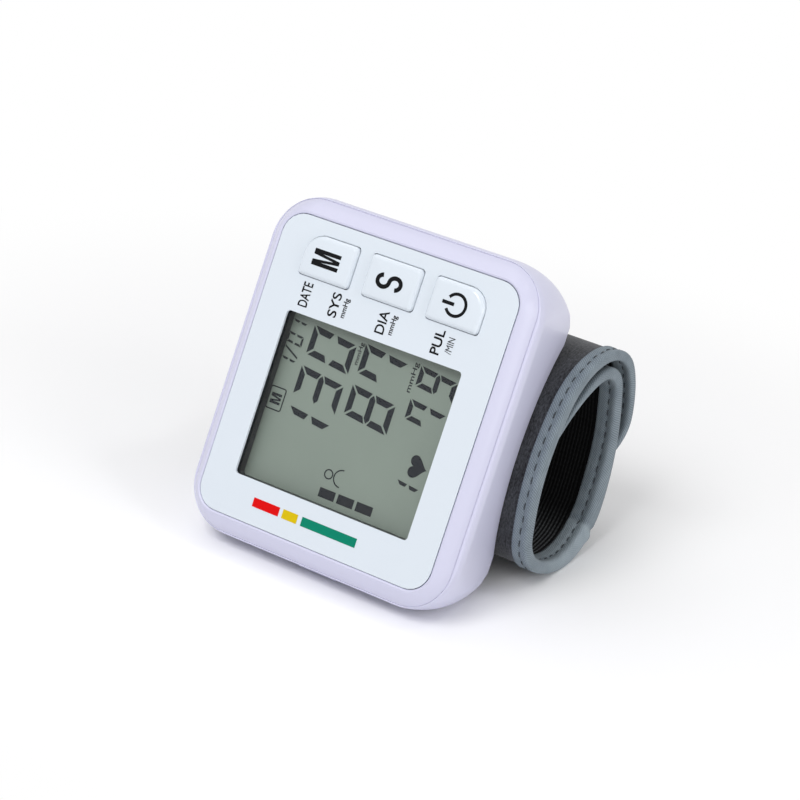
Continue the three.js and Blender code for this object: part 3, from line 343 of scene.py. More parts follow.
# %% Display glass and its window
LENS_SHINE = 0.25
crystal = Finish("display_glass", Coat_Weight=0.3)
haze = crystal.noise(crystal.place(), 45, 2)
crystal.set(
    Base_Color=crystal.blend(haze, srgb(128, 137, 129), srgb(139, 148, 139)),
    Roughness=haze * 0.1 + 0.3,
)
finished("display_glass", crystal)

window = Finish("lens_clear")
reflection = window.node("ShaderNodeFresnel", None, {"IOR": 1.45})
polish = window.noise(window.place(), 30, 1)
gloss = window.node("ShaderNodeBsdfGlossy", None, {"Color": (1, 1, 1), "Roughness": 0.04})
clear = window.node("ShaderNodeBsdfTransparent", None, {"Color": (0.97, 0.985, 0.98)})
window.show(reflection * LENS_SHINE + polish * 0.01, clear, gloss)
finished("lens_clear", window)
print("finishes:", len(FINISHES))

# %% [markdown]
# ## Dress the CAD nodes
# The record says which finish each node takes. The loop puts the new material in every slot of
# the node's object and leaves its mesh alone. The soft nodes are left out, because cloth pieces
# take their place further on.

# %% Give every node its finish
soft_nodes = {"outer_fabric", "cuff_lining", "binding_left", "binding_right"}
for part in frame["record"]["subparts"]:
    if part["node"] in soft_nodes:
        continue
    for holder in frame["nodes"][part["node"]].material_slots:
        holder.material = FINISHES[part["material_slot"]]

# %% [markdown]
# ## Smooth skins for the shells
# The CAD shells are made of flat facets, and under a soft lamp each facet shows as a stripe. The
# moulded shells are smooth. Each gets a skin about a tenth of a millimetre thick, lofted through
# many rounded outlines. An outline is a plane whose four corners are bevelled as vertices, which
# gives true round corners. All are drawn in millimetres on the face and then carried to their
# place.

# %% Rounded outlines and lofts
CORNER_FACETS = 20
SKIN = 0.05
SKIN_WALL = 0.12
SMOOTH_UP_TO = math.radians(32)


def take(obj, name):
    """Select one object alone and make it the active one."""
    bpy.ops.object.select_all(action="DESELECT")
    obj.select_set(True)
    bpy.context.view_layer.objects.active = obj
    obj.name = name
    return obj


def added(name, add, scale=None, **settings):
    """Call an operator that adds an object, take what it made and apply a scale to it."""
    bpy.ops.object.select_all(action="DESELECT")
    add(**settings)
    made = take(bpy.context.object, name)
    if scale is not None:
        made.scale = scale
        bpy.ops.object.transform_apply(location=True, scale=True)
    return made


def joined(pieces, name):
    """Make one object of many."""
    for piece in pieces:
        piece.select_set(True)
    bpy.context.view_layer.objects.active = pieces[0]
    bpy.ops.object.join()
    return take(bpy.context.object, name)


def edit_all():
    """Edit the active object, with all of it selected."""
    bpy.ops.object.mode_set(mode="EDIT")
    bpy.ops.mesh.select_all(action="SELECT")


def faces_outward(obj):
    """Turn the faces of the active object outward."""
    edit_all()
    bpy.ops.mesh.normals_make_consistent(inside=False)
    bpy.ops.object.mode_set(mode="OBJECT")
    return obj


def new_piece(name, points, faces, *slots):
    """An object with a mesh of these points and faces, and these finishes."""
    mesh = bpy.data.meshes.new(name)
    mesh.from_pydata(points, [], faces)
    for slot in slots:
        mesh.materials.append(FINISHES[slot])
    piece = bpy.data.objects.new(name, mesh)
    bpy.context.scene.collection.objects.link(piece)
    return take(piece, name)


def painted(obj, slot, body):
    """Give a piece one finish and the body it moves with."""
    obj.data.materials.clear()
    obj.data.materials.append(FINISHES[slot])
    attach(obj, body)
    return obj


def lay_on_face(obj, x, y, z, turn=0.0):
    """Move a piece, drawn in millimetres, to its place on the face, and keep it there."""
    obj.matrix_world = (
        FACE @ Matrix.Scale(MM, 4) @ Matrix.Translation((x, y, z)) @ Matrix.Rotation(turn, 4, "Z")
    )
    take(obj, obj.name)
    bpy.ops.object.transform_apply(location=True, rotation=True, scale=True)
    return obj


def rounded_outline(name, half_width, half_height, corner, z):
    scale = (half_width, half_height, 1)
    outline = added(name, bpy.ops.mesh.primitive_plane_add, scale, size=2, location=(0, 0, z))
    edit_all()
    bpy.ops.mesh.bevel(offset=corner, segments=CORNER_FACETS, affect="VERTICES")
    bpy.ops.mesh.select_all(action="SELECT")
    bpy.ops.mesh.delete(type="ONLY_FACE")
    bpy.ops.object.mode_set(mode="OBJECT")
    group = outline.vertex_groups.new(name=name)
    group.add(range(len(outline.data.vertices)), 1, "REPLACE")
    return outline


def lofted(name, outlines):
    """A surface through rounded outlines: half width, half height, corner and height of each."""
    rings = [rounded_outline(f"ring_{i}", *sizes) for i, sizes in enumerate(outlines)]
    surface = joined(rings, name)
    bpy.ops.object.mode_set(mode="EDIT")
    for i in range(len(outlines) - 1):
        bpy.ops.mesh.select_all(action="DESELECT")
        for ring_name in (f"ring_{i}", f"ring_{i + 1}"):
            surface.vertex_groups.active_index = surface.vertex_groups[ring_name].index
            bpy.ops.object.vertex_group_select()
        bpy.ops.mesh.bridge_edge_loops()
    faces_outward(surface)
    surface.vertex_groups.clear()
    return surface


def apply_modifier(obj, kind, **settings):
    take(obj, obj.name)
    bpy.ops.object.modifier_add(type=kind)
    modifier = obj.modifiers[-1]
    for setting, value in settings.items():
        setattr(modifier, setting, value)
    bpy.ops.object.modifier_apply(modifier=modifier.name)


def skin_finished(obj, slot, body):
    """Lay a skin on the face, shade it and give it the finish of the shell under it."""
    lay_on_face(obj, 0, 0, 0)
    bpy.ops.object.shade_smooth_by_angle(angle=SMOOTH_UP_TO)
    painted(obj, slot, body)
    return obj


# %% Skin of the crowned rim
RIM_STEPS = 16
RIM_DROP = 3.6
RIM_START = (30.65, 34.6, 5.85)
RIM_SPREAD = (2.65, 3.5, 4.2)
RIM_INSIDE = [
    (30.12, 34.07, 5.32, -0.9), (30.12, 34.07, 5.32, -0.3), (30.17, 34.12, 5.37, -0.13),
    (30.3, 34.25, 5.5, -0.02), (30.48, 34.43, 5.68, 0.035),
]
STRAIGHT_FROM = 0.84
rim_outlines = list(RIM_INSIDE)


def rim_fall(share):
    """How far the crown has fallen: half a straight slope, half a quarter circle."""
    return RIM_DROP * (share + 1 - math.sqrt(1 - share**2)) / 2


edge_slope = (rim_fall(STRAIGHT_FROM) - rim_fall(STRAIGHT_FROM - 0.01)) / 0.01
for share in np.linspace(0, 1, RIM_STEPS):
    past = max(share - STRAIGHT_FROM, 0)
    fall = rim_fall(share - past) + edge_slope * past
    sizes = [start + spread * share for start, spread in zip(RIM_START, RIM_SPREAD)]
    rim_outlines.append((*sizes, SKIN - fall))
rim_skin = lofted("rim_skin", rim_outlines)
apply_modifier(rim_skin, "SOLIDIFY", thickness=SKIN_WALL, offset=-1)
skin_finished(rim_skin, "lilac_plastic", "monitor")
print("rim skin:", len(rim_skin.data.polygons), "faces")

# %% Skin of the walls
HOUSING_HALF_WIDTH, HOUSING_HALF_HEIGHT, HOUSING_CORNER = 34.37, 38.76, 11.85
WIDEST_DEPTH = 5.0
HOUSING_DEPTH = 28.46
SIDE_DRAFT = 4.48
END_SWELL, END_DRAFT = 0.56, 10.46
CORNER_DRAFT, SHARPEST_CORNER = 12.27, 1.5
SHOULDER_ROUND, SHOULDER_HEIGHT = 0.43, 1.9
BACK_ROUND = 0.9
ARCH_DEPTH = 19.0
ARCH_RADIUS = 38.5
WALL_LIP = [
    (33.28, 38.07, 10.02, -3.6), (33.28, 38.07, 10.02, -3.15), (33.32, 38.11, 10.1, -3.06),
    (33.42, 38.17, 10.22, -3.01), (33.6, 38.26, 10.5, -2.97), (33.78, 38.34, 10.8, -2.99),
    (33.93, 38.42, 11.1, -3.07), (34.05, 38.48, 11.4, -3.22),
]


def wall_outline(depth, inset=0.0):
    """Outline of the walls at a depth behind the face, as the CAD shell has it."""
    share = max(depth - WIDEST_DEPTH, 0) / (HOUSING_DEPTH - WIDEST_DEPTH)
    shoulder = SHOULDER_ROUND * (max(WIDEST_DEPTH - depth, 0) / SHOULDER_HEIGHT) ** 2
    drawn_in = inset + shoulder - SKIN
    return (
        HOUSING_HALF_WIDTH - SIDE_DRAFT * share - drawn_in,
        HOUSING_HALF_HEIGHT + END_SWELL * share - END_DRAFT * share**2 - drawn_in,
        max(HOUSING_CORNER - CORNER_DRAFT * share - drawn_in, SHARPEST_CORNER),
        -depth,
    )


wall_depths = [3.45, 3.8, 4.2, 4.6, *np.arange(WIDEST_DEPTH, HOUSING_DEPTH - BACK_ROUND)]
wall_outlines = WALL_LIP + [wall_outline(depth) for depth in wall_depths]
for turn in np.linspace(0, math.pi / 2, 7):
    wall_outlines.append(wall_outline(
        HOUSING_DEPTH - BACK_ROUND * (1 - math.sin(turn)), BACK_ROUND * (1 - math.cos(turn))
    ))
wall_skin = lofted("wall_skin", wall_outlines)
apply_modifier(wall_skin, "SOLIDIFY", thickness=SKIN_WALL, offset=-1)


def cut_by(obj, cutter, operation="DIFFERENCE"):
    apply_modifier(obj, "BOOLEAN", object=cutter, operation=operation, solver="EXACT")
    bpy.data.objects.remove(cutter)


def box_tool(low, high):
    """A block between two corners, to cut with."""
    middle = [(a + b) / 2 for a, b in zip(low, high)]
    size = [b - a for a, b in zip(low, high)]
    return added("tool", bpy.ops.mesh.primitive_cube_add, size, size=1, location=middle)


DOOR_LOW = (-25, -45, -24.4)
DOOR_HIGH = (25, -29.5, -8.4)
DOOR_GAP = 0.26
arch_tool = added(
    "tool", bpy.ops.mesh.primitive_cylinder_add, radius=ARCH_RADIUS, depth=80, vertices=256,
    location=(0, 0, -ARCH_DEPTH - ARCH_RADIUS), rotation=(0, math.pi / 2, 0),
)
cut_by(wall_skin, arch_tool)
take(wall_skin, "wall_skin")
bpy.ops.object.duplicate()
door_skin = take(bpy.context.object, "door_skin")
cut_by(door_skin, box_tool(DOOR_LOW, DOOR_HIGH), "INTERSECT")
cut_by(wall_skin, box_tool(
    [v - DOOR_GAP for v in DOOR_LOW], [v + DOOR_GAP for v in DOOR_HIGH]
))
skin_finished(wall_skin, "lilac_plastic", "monitor")
skin_finished(door_skin, "lilac_plastic", "door")
print("wall skin:", len(wall_skin.data.polygons), "faces")

# %% [markdown]
# ## Caps of the buttons
# The real buttons have softly rounded shoulders, which catch the light as a broad edge. A cap is
# a plane with its corners bevelled, pulled up to a block and bevelled again round its top. The
# buttons at both ends of the row have one large corner.

# %% Three caps
BUTTON_PITCH = 16.4
BUTTON_Y = 25.95
CAP_HALF = (6.58, 4.73)
CAP_CORNER = 1.1
CAP_LARGE_CORNER = 4.6
CAP_SKIRT = -0.3
BUTTON_TOP = 1.05
CAP_SHOULDER = 1.0
SHOULDER_PROFILE = 0.42
NEAR = 0.01


def select_corners(obj, wanted):
    """Select the vertices for which the test is true, in edit mode."""
    bpy.ops.object.mode_set(mode="OBJECT")
    for vertex in obj.data.vertices:
        vertex.select = wanted(vertex.co)
    for edge in obj.data.edges:
        edge.select = all(obj.data.vertices[i].select for i in edge.vertices)
    for face in obj.data.polygons:
        face.select = all(obj.data.vertices[i].select for i in face.vertices)
    bpy.ops.object.mode_set(mode="EDIT")


def button_cap(name, middle, large_side):
    cap = added(
        f"{name}_cap", bpy.ops.mesh.primitive_plane_add, (*CAP_HALF, 1),
        size=2, location=(middle, BUTTON_Y, CAP_SKIRT),
    )

    def is_large(place):
        return large_side != 0 and (place.x - middle) * large_side > 0 and place.y > BUTTON_Y

    bpy.ops.object.mode_set(mode="EDIT")
    bpy.ops.mesh.select_mode(type="VERT")
    select_corners(cap, lambda place: not is_large(place))
    bpy.ops.mesh.bevel(offset=CAP_CORNER, segments=6, affect="VERTICES")
    if large_side:
        corner_x = middle + large_side * CAP_HALF[0]
        top_y = BUTTON_Y + CAP_HALF[1]
        select_corners(cap, lambda place: abs(place.x - corner_x) < NEAR and place.y > top_y - NEAR)
        bpy.ops.mesh.bevel(offset=CAP_LARGE_CORNER, segments=16, affect="VERTICES")
    bpy.ops.mesh.select_all(action="SELECT")
    rise = (0, 0, BUTTON_TOP - CAP_SKIRT)
    bpy.ops.mesh.extrude_region_move(TRANSFORM_OT_translate={"value": rise})
    bpy.ops.mesh.select_all(action="SELECT")
    bpy.ops.mesh.normals_make_consistent(inside=False)
    select_corners(cap, lambda place: place.z > BUTTON_TOP - NEAR)
    bpy.ops.mesh.bevel(offset=CAP_SHOULDER, segments=8, profile=SHOULDER_PROFILE)
    bpy.ops.object.mode_set(mode="OBJECT")
    return cap


for name, side in (("memory", -1), ("set", 0), ("power", 1)):
    cap = button_cap(name, side * BUTTON_PITCH, side)
    skin_finished(cap, "white_plate", f"{name}_key")
    print(name, "cap:", len(cap.data.polygons), "faces")

# %% [markdown]
# ## Printing on the face
# Letters and marks are ink a few hundredths of a millimetre thick. Text objects and flat shapes
# become thin meshes lying on the plate. The letters read up the face, so every word is turned a
# quarter turn.

# %% Ink
INK_LIFT = 0.015
INK_THICKNESS = 0.02
INK_SHINE = 0.1
QUARTER = math.radians(90)


def ink(slot, colour, gloss=0.4):
    finish = Finish(slot, Specular_IOR_Level=INK_SHINE)
    mottle = finish.noise(finish.place(), 1500, 2)
    paler = tuple(channel * 1.12 + 0.001 for channel in colour)
    finish.set(Base_Color=finish.blend(mottle, colour, paler), Roughness=mottle * 0.1 + gloss)
    return finished(slot, finish)


ink("black_ink", srgb(8, 8, 12))
ink("red_ink", srgb(208, 5, 7))
ink("yellow_ink", srgb(206, 178, 8))
ink("green_ink", srgb(3, 122, 97))
ink("display_ink", srgb(28, 30, 38), 0.6)


def word(name, text, left, bottom, width, height, z, heavy):
    """Text that fills a box and runs up the face, with the tops of its letters to the left."""
    letters = added(name, bpy.ops.object.text_add)
    letters.data.body = text
    letters.data.offset = heavy
    letters.data.resolution_u = 6
    bpy.ops.object.convert(target="MESH")
    letters = take(bpy.context.object, name)
    points = np.array([v.co[:] for v in letters.data.vertices])
    low, high = points.min(0), points.max(0)
    grow = (height / (high[0] - low[0]), width / (high[1] - low[1]), 1)
    letters.data.transform(Matrix.Diagonal((*grow, 1)) @ Matrix.Translation(-Vector(low)))
    return lay_on_face(thicken(letters), left + width, bottom, z, QUARTER)


def thicken(obj):
    """Give a flat shape the thickness of ink, with its back at the same place."""
    edit_all()
    bpy.ops.mesh.remove_doubles(threshold=0.0001)
    bpy.ops.mesh.extrude_region_move(TRANSFORM_OT_translate={"value": (0, 0, INK_THICKNESS)})
    return faces_outward(obj)


def outline_shape(name, points):
    """A flat shape with these corners, in millimetres, made a thin mesh."""
    return thicken(new_piece(name, [(x, y, 0) for x, y in points], [range(len(points))]))


# %% Words over the display
LABELS = [
    ("date", "DATE", -20.7, 14.6, 2.4, 5.4, 0.015),
    ("sys", "SYS", -13.0, 14.6, 2.3, 5.4, 0.014),
    ("sys_unit", "mmHg", -9.9, 15.2, 1.6, 4.3, 0.02),
    ("dia", "DIA", -0.7, 14.7, 2.3, 5.1, 0.012),
    ("dia_unit", "mmHg", 2.4, 15.2, 1.6, 4.3, 0.02),
    ("pul", "PUL", 13.4, 14.6, 2.3, 5.4, 0.018),
    ("pul_unit", "/MIN", 16.8, 15.6, 1.6, 3.5, 0.0),
]
for name, text, left, bottom, width, height, heavy in LABELS:
    label = word(f"label_{name}", text, left, bottom, width, height, INK_LIFT, heavy)
    painted(label, "black_ink", "monitor")
print("labels:", len(LABELS))

# %% Marks on the buttons
MARK_LIFT = BUTTON_TOP + INK_LIFT
MEMORY_MARK = [
    (0, 0), (0.88, 0), (0.88, 4.6), (1.42, 0), (2.28, 0), (2.82, 4.6), (2.82, 0),
    (3.7, 0), (3.7, 6.75), (2.42, 6.75), (1.85, 1.5), (1.28, 6.75), (0, 6.75),
]
SET_MARK_LINE = 0.95
SET_MARK_BOX = (-3.7, 24.0, 6.75, 3.5)
POWER_X, POWER_Y = 16.46, 25.9
POWER_RADIUS = 2.35
POWER_LINE = 0.68
POWER_STEPS = 48
POWER_BAR = (-3.36, -0.46, -0.38, 0.38)


def directions(points, *places):
    """The direction of a line at each of its points."""
    slope = np.gradient(points, *places, axis=0)
    return slope / np.linalg.norm(slope, axis=1)[:, None]


def leftward(points):
    """The direction to the left of a line at each of its points."""
    slope = directions(points)
    return np.stack((-slope[:, 1], slope[:, 0]), -1)


def distances(points):
    """How far along a line each of its points is."""
    return np.concatenate(([0], np.cumsum(np.linalg.norm(np.diff(points, axis=0), axis=1))))


def read_between(place, places, rows):
    """Each column of a table, read at a place between its rows."""
    return [np.interp(place, places, column) for column in rows.T]


def band(points, line):
    """Corners of a band of one width along a line of points, out and back."""
    middle = np.array(points)
    aside = leftward(middle) * line / 2
    return [tuple(p) for p in np.vstack((middle + aside, (middle - aside)[::-1]))]


def arc(middle, radius_x, radius_y, start, stop, steps):
    turns = np.radians(np.linspace(start, stop, steps + 1))
    return [(middle[0] + radius_x * math.cos(t), middle[1] + radius_y * math.sin(t)) for t in turns]


def box(left, right, bottom, top):
    return [(left, bottom), (right, bottom), (right, top), (left, top)]


def turned_to_face(points, base, start):
    """Letter points, to the right and up, as places on the face, where letters lie on a side."""
    return [(base - up, start + right) for right, up in points]


memory_shape = outline_shape("mark_memory", turned_to_face(MEMORY_MARK, -13.25, 24.0))
painted(lay_on_face(memory_shape, 0, 0, MARK_LIFT), "black_ink", "memory_key")

left, start, tall, wide = SET_MARK_BOX
reach_x, reach_y = (wide - SET_MARK_LINE) / 2, (tall - SET_MARK_LINE) / 4
upper_middle = (wide / 2, tall / 2 + reach_y)
lower_middle = (wide / 2, tall / 2 - reach_y)
set_line = arc(upper_middle, reach_x, reach_y, 12, 270, 26)
set_line += arc(lower_middle, reach_x, reach_y, 90, -168, 26)[1:]
set_shape = outline_shape(
    "mark_set", turned_to_face(band(set_line, SET_MARK_LINE), left + tall, start)
)
painted(lay_on_face(set_shape, 0, 0, MARK_LIFT), "black_ink", "set_key")

ring_line = arc((0, 0), POWER_RADIUS, POWER_RADIUS, 212, 508, POWER_STEPS)
ring_shape = outline_shape("mark_power_ring", band(ring_line, POWER_LINE))
bar_shape = outline_shape("mark_power_bar", box(*POWER_BAR))
for shape in (ring_shape, bar_shape):
    painted(lay_on_face(shape, POWER_X, POWER_Y, MARK_LIFT), "black_ink", "power_key")

# %% Colour bars under the display
BAR_TOP, BAR_BOTTOM = -28.0, -30.05
for name, left, right in (("red", -15.9, -9.0), ("yellow", -8.1, -4.2), ("green", -3.1, 11.1)):
    bar = outline_shape(f"bar_{name}", box(left, right, BAR_BOTTOM, BAR_TOP))
    painted(lay_on_face(bar, 0, 0, INK_LIFT), f"{name}_ink", "monitor")

# %% [markdown]
# ## The reading
# A liquid crystal digit is seven bars with pointed ends, and the whole digit leans. The bars are
# drawn once as corners in a box one unit wide and high, then stretched to each digit's own box.
# As with the words, the top of a digit points to the left of the face.

# %% Seven bars
GLASS_FRONT = (reach_of("display_cell", outward)[1] - plate_front) / MM
DISPLAY_LIFT = GLASS_FRONT + 0.01
BARS_OF = {
    "0": "abcdef", "1": "bc", "3": "abgcd", "7": "abcf", "8": "abcdefg", "9": "abcdfg",
}
BAR_LEVELS = {"a": 1.0, "g": 0.5, "d": 0.0}
DIGIT_LEAN = 0.11
BAR_GAP = 0.035
MIDDLE_POINT = 0.8


def bar_corners(kind, tx, ty):
    """One bar of a digit in the unit box, this thick across and up, with slanted ends."""
    gap, point = BAR_GAP, tx * MIDDLE_POINT
    if kind == "g":
        y = BAR_LEVELS[kind]
        return [(gap, y), (point, y + ty / 2), (1 - point, y + ty / 2),
                (1 - gap, y), (1 - point, y - ty / 2), (point, y - ty / 2)]
    if kind in BAR_LEVELS:
        y = BAR_LEVELS[kind]
        inward = -ty if kind == "a" else ty
        return [(gap, y), (1 - gap, y), (1 - tx - gap, y + inward), (tx + gap, y + inward)]
    x, inward = (1.0, -tx) if kind in "bc" else (0.0, tx)
    top = kind in "bf"
    low, high = (0.5, 1.0) if top else (0.0, 0.5)
    inner_low = low + (ty / 2 + gap if top else ty + gap)
    inner_high = high - (ty + gap if top else ty / 2 + gap)
    return [(x, low + gap), (x, high - gap), (x + inward, inner_high), (x + inward, inner_low)]


def digit(text, left, right, start, stop, thick):
    """Corners of all bars of a leaning digit that runs from start to stop up the face."""
    height = right - left
    width = stop - start - DIGIT_LEAN * height
    shapes = []
    for kind in BARS_OF[text]:
        corners = bar_corners(kind, thick / width, thick / height)
        shapes.append([
            (right - up * height, start + across * width + DIGIT_LEAN * up * height)
            for across, up in corners
        ])
    return shapes


def on_display(name, shapes):
    """Many flat shapes as one piece on the display."""
    made = [outline_shape(f"{name}_{i}", corners) for i, corners in enumerate(shapes)]
    piece = faces_outward(joined(made, name))
    return painted(lay_on_face(piece, 0, 0, DISPLAY_LIFT), "display_ink", "monitor")


READING = [
    ("systolic", [("0", -17.3, -5.8, 3.7, 11.6), ("3", -17.3, -5.8, -5.6, 2.4),
                  ("1", -17.3, -5.8, -14.9, -6.8)], 1.45),
    ("diastolic", [("7", -3.8, 7.7, 3.7, 11.6), ("8", -3.8, 7.7, -5.7, 2.4)], 1.45),
    ("pulse", [("9", 10.55, 20.1, 5.6, 11.2), ("7", 10.55, 20.1, -1.75, 3.8)], 1.15),
    ("day", [("1", -22.9, -19.0, 8.9, 11.4), ("0", -23.1, -18.9, 5.7, 8.5),
             ("1", -22.9, -19.0, 0.4, 2.9)], 0.5),
    ("user_digit", [("1", 13.4, 19.3, -17.4, -13.4)], 0.8),
]
for name, digits, thick in READING:
    shapes = []
    for text, left, right, start, stop in digits:
        shapes += digit(text, left, right, start, stop, thick)
    on_display(f"reading_{name}", shapes)
print("display front at", round(GLASS_FRONT, 2), "mm")

# %% Small signs on the display
for name, left, bottom, width, height in (
    ("unit_upper", -5.3, 6.4, 1.35, 5.0), ("unit_lower", 8.7, 4.75, 1.5, 6.65)
):
    unit = word(f"sign_{name}", "mmHg", left, bottom, width, height, DISPLAY_LIFT, 0.012)
    painted(unit, "display_ink", "monitor")

STEP_BOTTOM, STEP_TOP = -23.2, -21.1
slash = [(-19.0, 3.0), (-22.7, 4.9), (-22.7, 5.35), (-19.0, 3.45)]
steps = [box(*ends, STEP_BOTTOM, STEP_TOP) for ends in ((-3.55, 0.55), (1.25, 5.4), (6.1, 10.25))]
on_display("sign_slash_and_steps", [slash] + steps)

# %% Boxed memory sign
MEMORY_BOX = (-22.9, -9.1, -19.0, -4.1)
BOX_CORNER = 0.45
BOX_LINE = 0.3
x0, y0, x1, y1 = MEMORY_BOX
box_line = []
for corner_x, corner_y, start in ((x1, y1, 0), (x0, y1, 90), (x0, y0, 180), (x1, y0, 270)):
    inward_x = BOX_CORNER if corner_x == x0 else -BOX_CORNER
    inward_y = BOX_CORNER if corner_y == y0 else -BOX_CORNER
    box_line += arc((corner_x + inward_x, corner_y + inward_y), BOX_CORNER, BOX_CORNER,
                    start, start + 90, 5)
box_line.append((x1, (y0 + y1) / 2))
box_line.insert(0, (x1, (y0 + y1) / 2 + 0.01))
on_display("sign_memory_box", [band(box_line, BOX_LINE)])
memory_sign = turned_to_face([(u * 0.65, v * 0.39) for u, v in MEMORY_MARK], -19.65, -7.85)
on_display("sign_memory", [memory_sign])

# %% Heart and user signs
HEART = (15.2, 19.6, -12.1, -7.1)
HEART_STEPS = 40
USER_X, USER_Y = -2.6, -17.9
HEAD_RADIUS = 1.0
SHOULDER_DROP, SHOULDERS = 3.4, (2.0, 1.9)
SIGN_LINE = 0.3


def heart_outline(left, right, bottom, top):
    """The usual heart curve, lying on its side with its point to the right."""
    points = []
    for step in range(HEART_STEPS):
        t = 2 * math.pi * step / HEART_STEPS
        across = 16 * math.sin(t) ** 3
        up = 13 * math.cos(t) - 5 * math.cos(2 * t) - 2 * math.cos(3 * t) - math.cos(4 * t)
        share_up = (up + 17) / 29
        share_across = (across + 16) / 32
        points.append((right - share_up * (right - left), bottom + share_across * (top - bottom)))
    return points


on_display("sign_heart", [heart_outline(*HEART)])
head = band(arc((USER_X, USER_Y), HEAD_RADIUS, HEAD_RADIUS, 0, 359, 28), SIGN_LINE)
shoulders = band(arc((USER_X + SHOULDER_DROP, USER_Y), *SHOULDERS, 90, 270, 20), SIGN_LINE)
on_display("sign_user", [head, shoulders])
print("signs placed")

# %% [markdown]
# ## The way of the cuff
# The cuff is one long padded strip, wound into a loop. Everything on it is placed by the distance
# along the strip, the distance across it and the height over its middle. The route has the
# points of the CAD model and runs a little further at both ends. Each point says how far up, how
# far behind the housing and how thick, as shares of the loop's own sizes. A centripetal curve
# through them gives the places in between.

# %% Route of the cuff
LOOP_HEIGHT = 49.6
LOOP_DEPTH = 36.8
PAD_THICKNESS = 5.8
FIT = 0.3
TAPE = 0.4
UNDER_TAPE = 0.55
CUFF_HALF_WIDTH = 38.6
FIRST_ON_ARCH, LAST_ON_ARCH = 15, 20
THIN_END, THIN_OVER = 0.4, 20.0
CURVE_SAMPLES = 160
CUFF_SHARES = [
    (0.030, 0.108, 0.300),
    (0.101, 0.136, 0.379), (0.212, 0.196, 0.379), (0.319, 0.288, 0.414), (0.399, 0.408, 0.448),
    (0.433, 0.543, 0.483), (0.405, 0.677, 0.517), (0.321, 0.769, 0.586), (0.145, 0.899, 0.724),
    (-0.060, 0.973, 0.931), (-0.232, 0.978, 1.000), (-0.363, 0.894, 0.931), (-0.446, 0.745, 0.724),
    (-0.480, 0.543, 0.552), (-0.464, 0.321, 0.534), (-0.403, 0.201, 0.534), (-0.282, 0.117, 0.552),
    (-0.131, 0.057, 0.569), (0.020, 0.039, 0.569), (0.171, 0.064, 0.569), (0.306, 0.128, 0.534),
    (0.419, 0.245, 0.466), (0.496, 0.421, 0.414), (0.520, 0.611, 0.414), (0.490, 0.769, 0.414),
    (0.413, 0.894, 0.414), (0.306, 0.992, 0.414), (0.212, 1.038, 0.414), (0.129, 1.048, 0.414),
    (0.022, 1.056, 0.400), (-0.040, 1.060, 0.390),
]


def cuff_rows():
    rows = []
    for row, (up, behind, thick) in enumerate(CUFF_SHARES):
        thickness, y = thick * PAD_THICKNESS, up * LOOP_HEIGHT
        z = -ARCH_DEPTH - behind * LOOP_DEPTH
        if FIRST_ON_ARCH <= row <= LAST_ON_ARCH:
            radius = ARCH_RADIUS - FIT + UNDER_TAPE - thickness / 2
            z = -ARCH_DEPTH - ARCH_RADIUS + math.sqrt(radius**2 - y**2)
        rows.append((thickness, y, z))
    return np.array(rows)


def through(rows):
    """Points on a centripetal Catmull-Rom curve through the rows."""
    ends = np.vstack((2 * rows[0] - rows[1], rows, 2 * rows[-1] - rows[-2]))
    share = np.linspace(0, 1, CURVE_SAMPLES, endpoint=False)[:, None]
    curve = []
    for p0, p1, p2, p3 in zip(ends, ends[1:], ends[2:], ends[3:]):
        step0, step1, step2 = (
            math.sqrt(np.linalg.norm(b - a)) for a, b in ((p0, p1), (p1, p2), (p2, p3))
        )
        leave = ((p1 - p0) / step0 - (p2 - p0) / (step0 + step1) + (p2 - p1) / step1) * step1
        arrive = ((p2 - p1) / step1 - (p3 - p1) / (step1 + step2) + (p3 - p2) / step2) * step1
        square = -3 * p1 + 3 * p2 - 2 * leave - arrive
        cube = 2 * p1 - 2 * p2 + leave + arrive
        curve.append(p1 + leave * share + square * share**2 + cube * share**3)
    return np.vstack((*curve, rows[-1:]))


CURVE = through(cuff_rows())
CURVE_AT = distances(CURVE)
CUFF_LENGTH = CURVE_AT[-1]
SLOPES = directions(CURVE[:, 1:], CURVE_AT)


def along_cuff(place):
    """Thickness, middle point and direction of the strip at a distance along it, in mm."""
    here = np.clip(place, 0, CUFF_LENGTH)
    thickness, y, z = read_between(here, CURVE_AT, CURVE)
    thickness = thickness * (THIN_END + (1 - THIN_END) * np.clip(here / THIN_OVER, 0, 1))
    return thickness, y, z, *read_between(here, CURVE_AT, SLOPES)


def cuff_point(place, across, over):
    """Where a point of the cuff is in the scene: along it, across it and over its middle."""
    thickness, y, z, slope_y, slope_z = along_cuff(place)
    length = np.hypot(slope_y, slope_z)
    out_y, out_z = -slope_z / length, slope_y / length
    local = np.stack(np.broadcast_arrays(across, y + over * out_y, z + over * out_z), axis=-1)
    turned = local * MM @ np.array(FACE.to_3x3()).T
    return turned + np.array(FACE.translation)


print("cuff length", round(CUFF_LENGTH, 1), "mm")

# %% [markdown]
# ## Cloth
# Three cloths meet on the cuff. Outside is a brushed knit, dark grey with lighter fibres that run
# round the wrist. Inside is a black ribbed mesh. The tape that binds the edges is woven, with fine
# slanted ribs. All patterns follow the strip, so they read a UV map that holds the distance along
# the strip and across it in metres, and weave keeps its scale wherever the strip turns.

# %% Cloth finishes
CLOTH_MAP = "cloth"


def cloth_axes(finish):
    """The place on the cloth, and its distances along the strip and across it."""
    where = finish.node("ShaderNodeUVMap", {"uv_map": CLOTH_MAP})
    return where, *finish.axes(where)


def stretched(finish, where, along, across):
    return finish.node("ShaderNodeMapping", None, {"Vector": where, "Scale": (along, across, 1)})


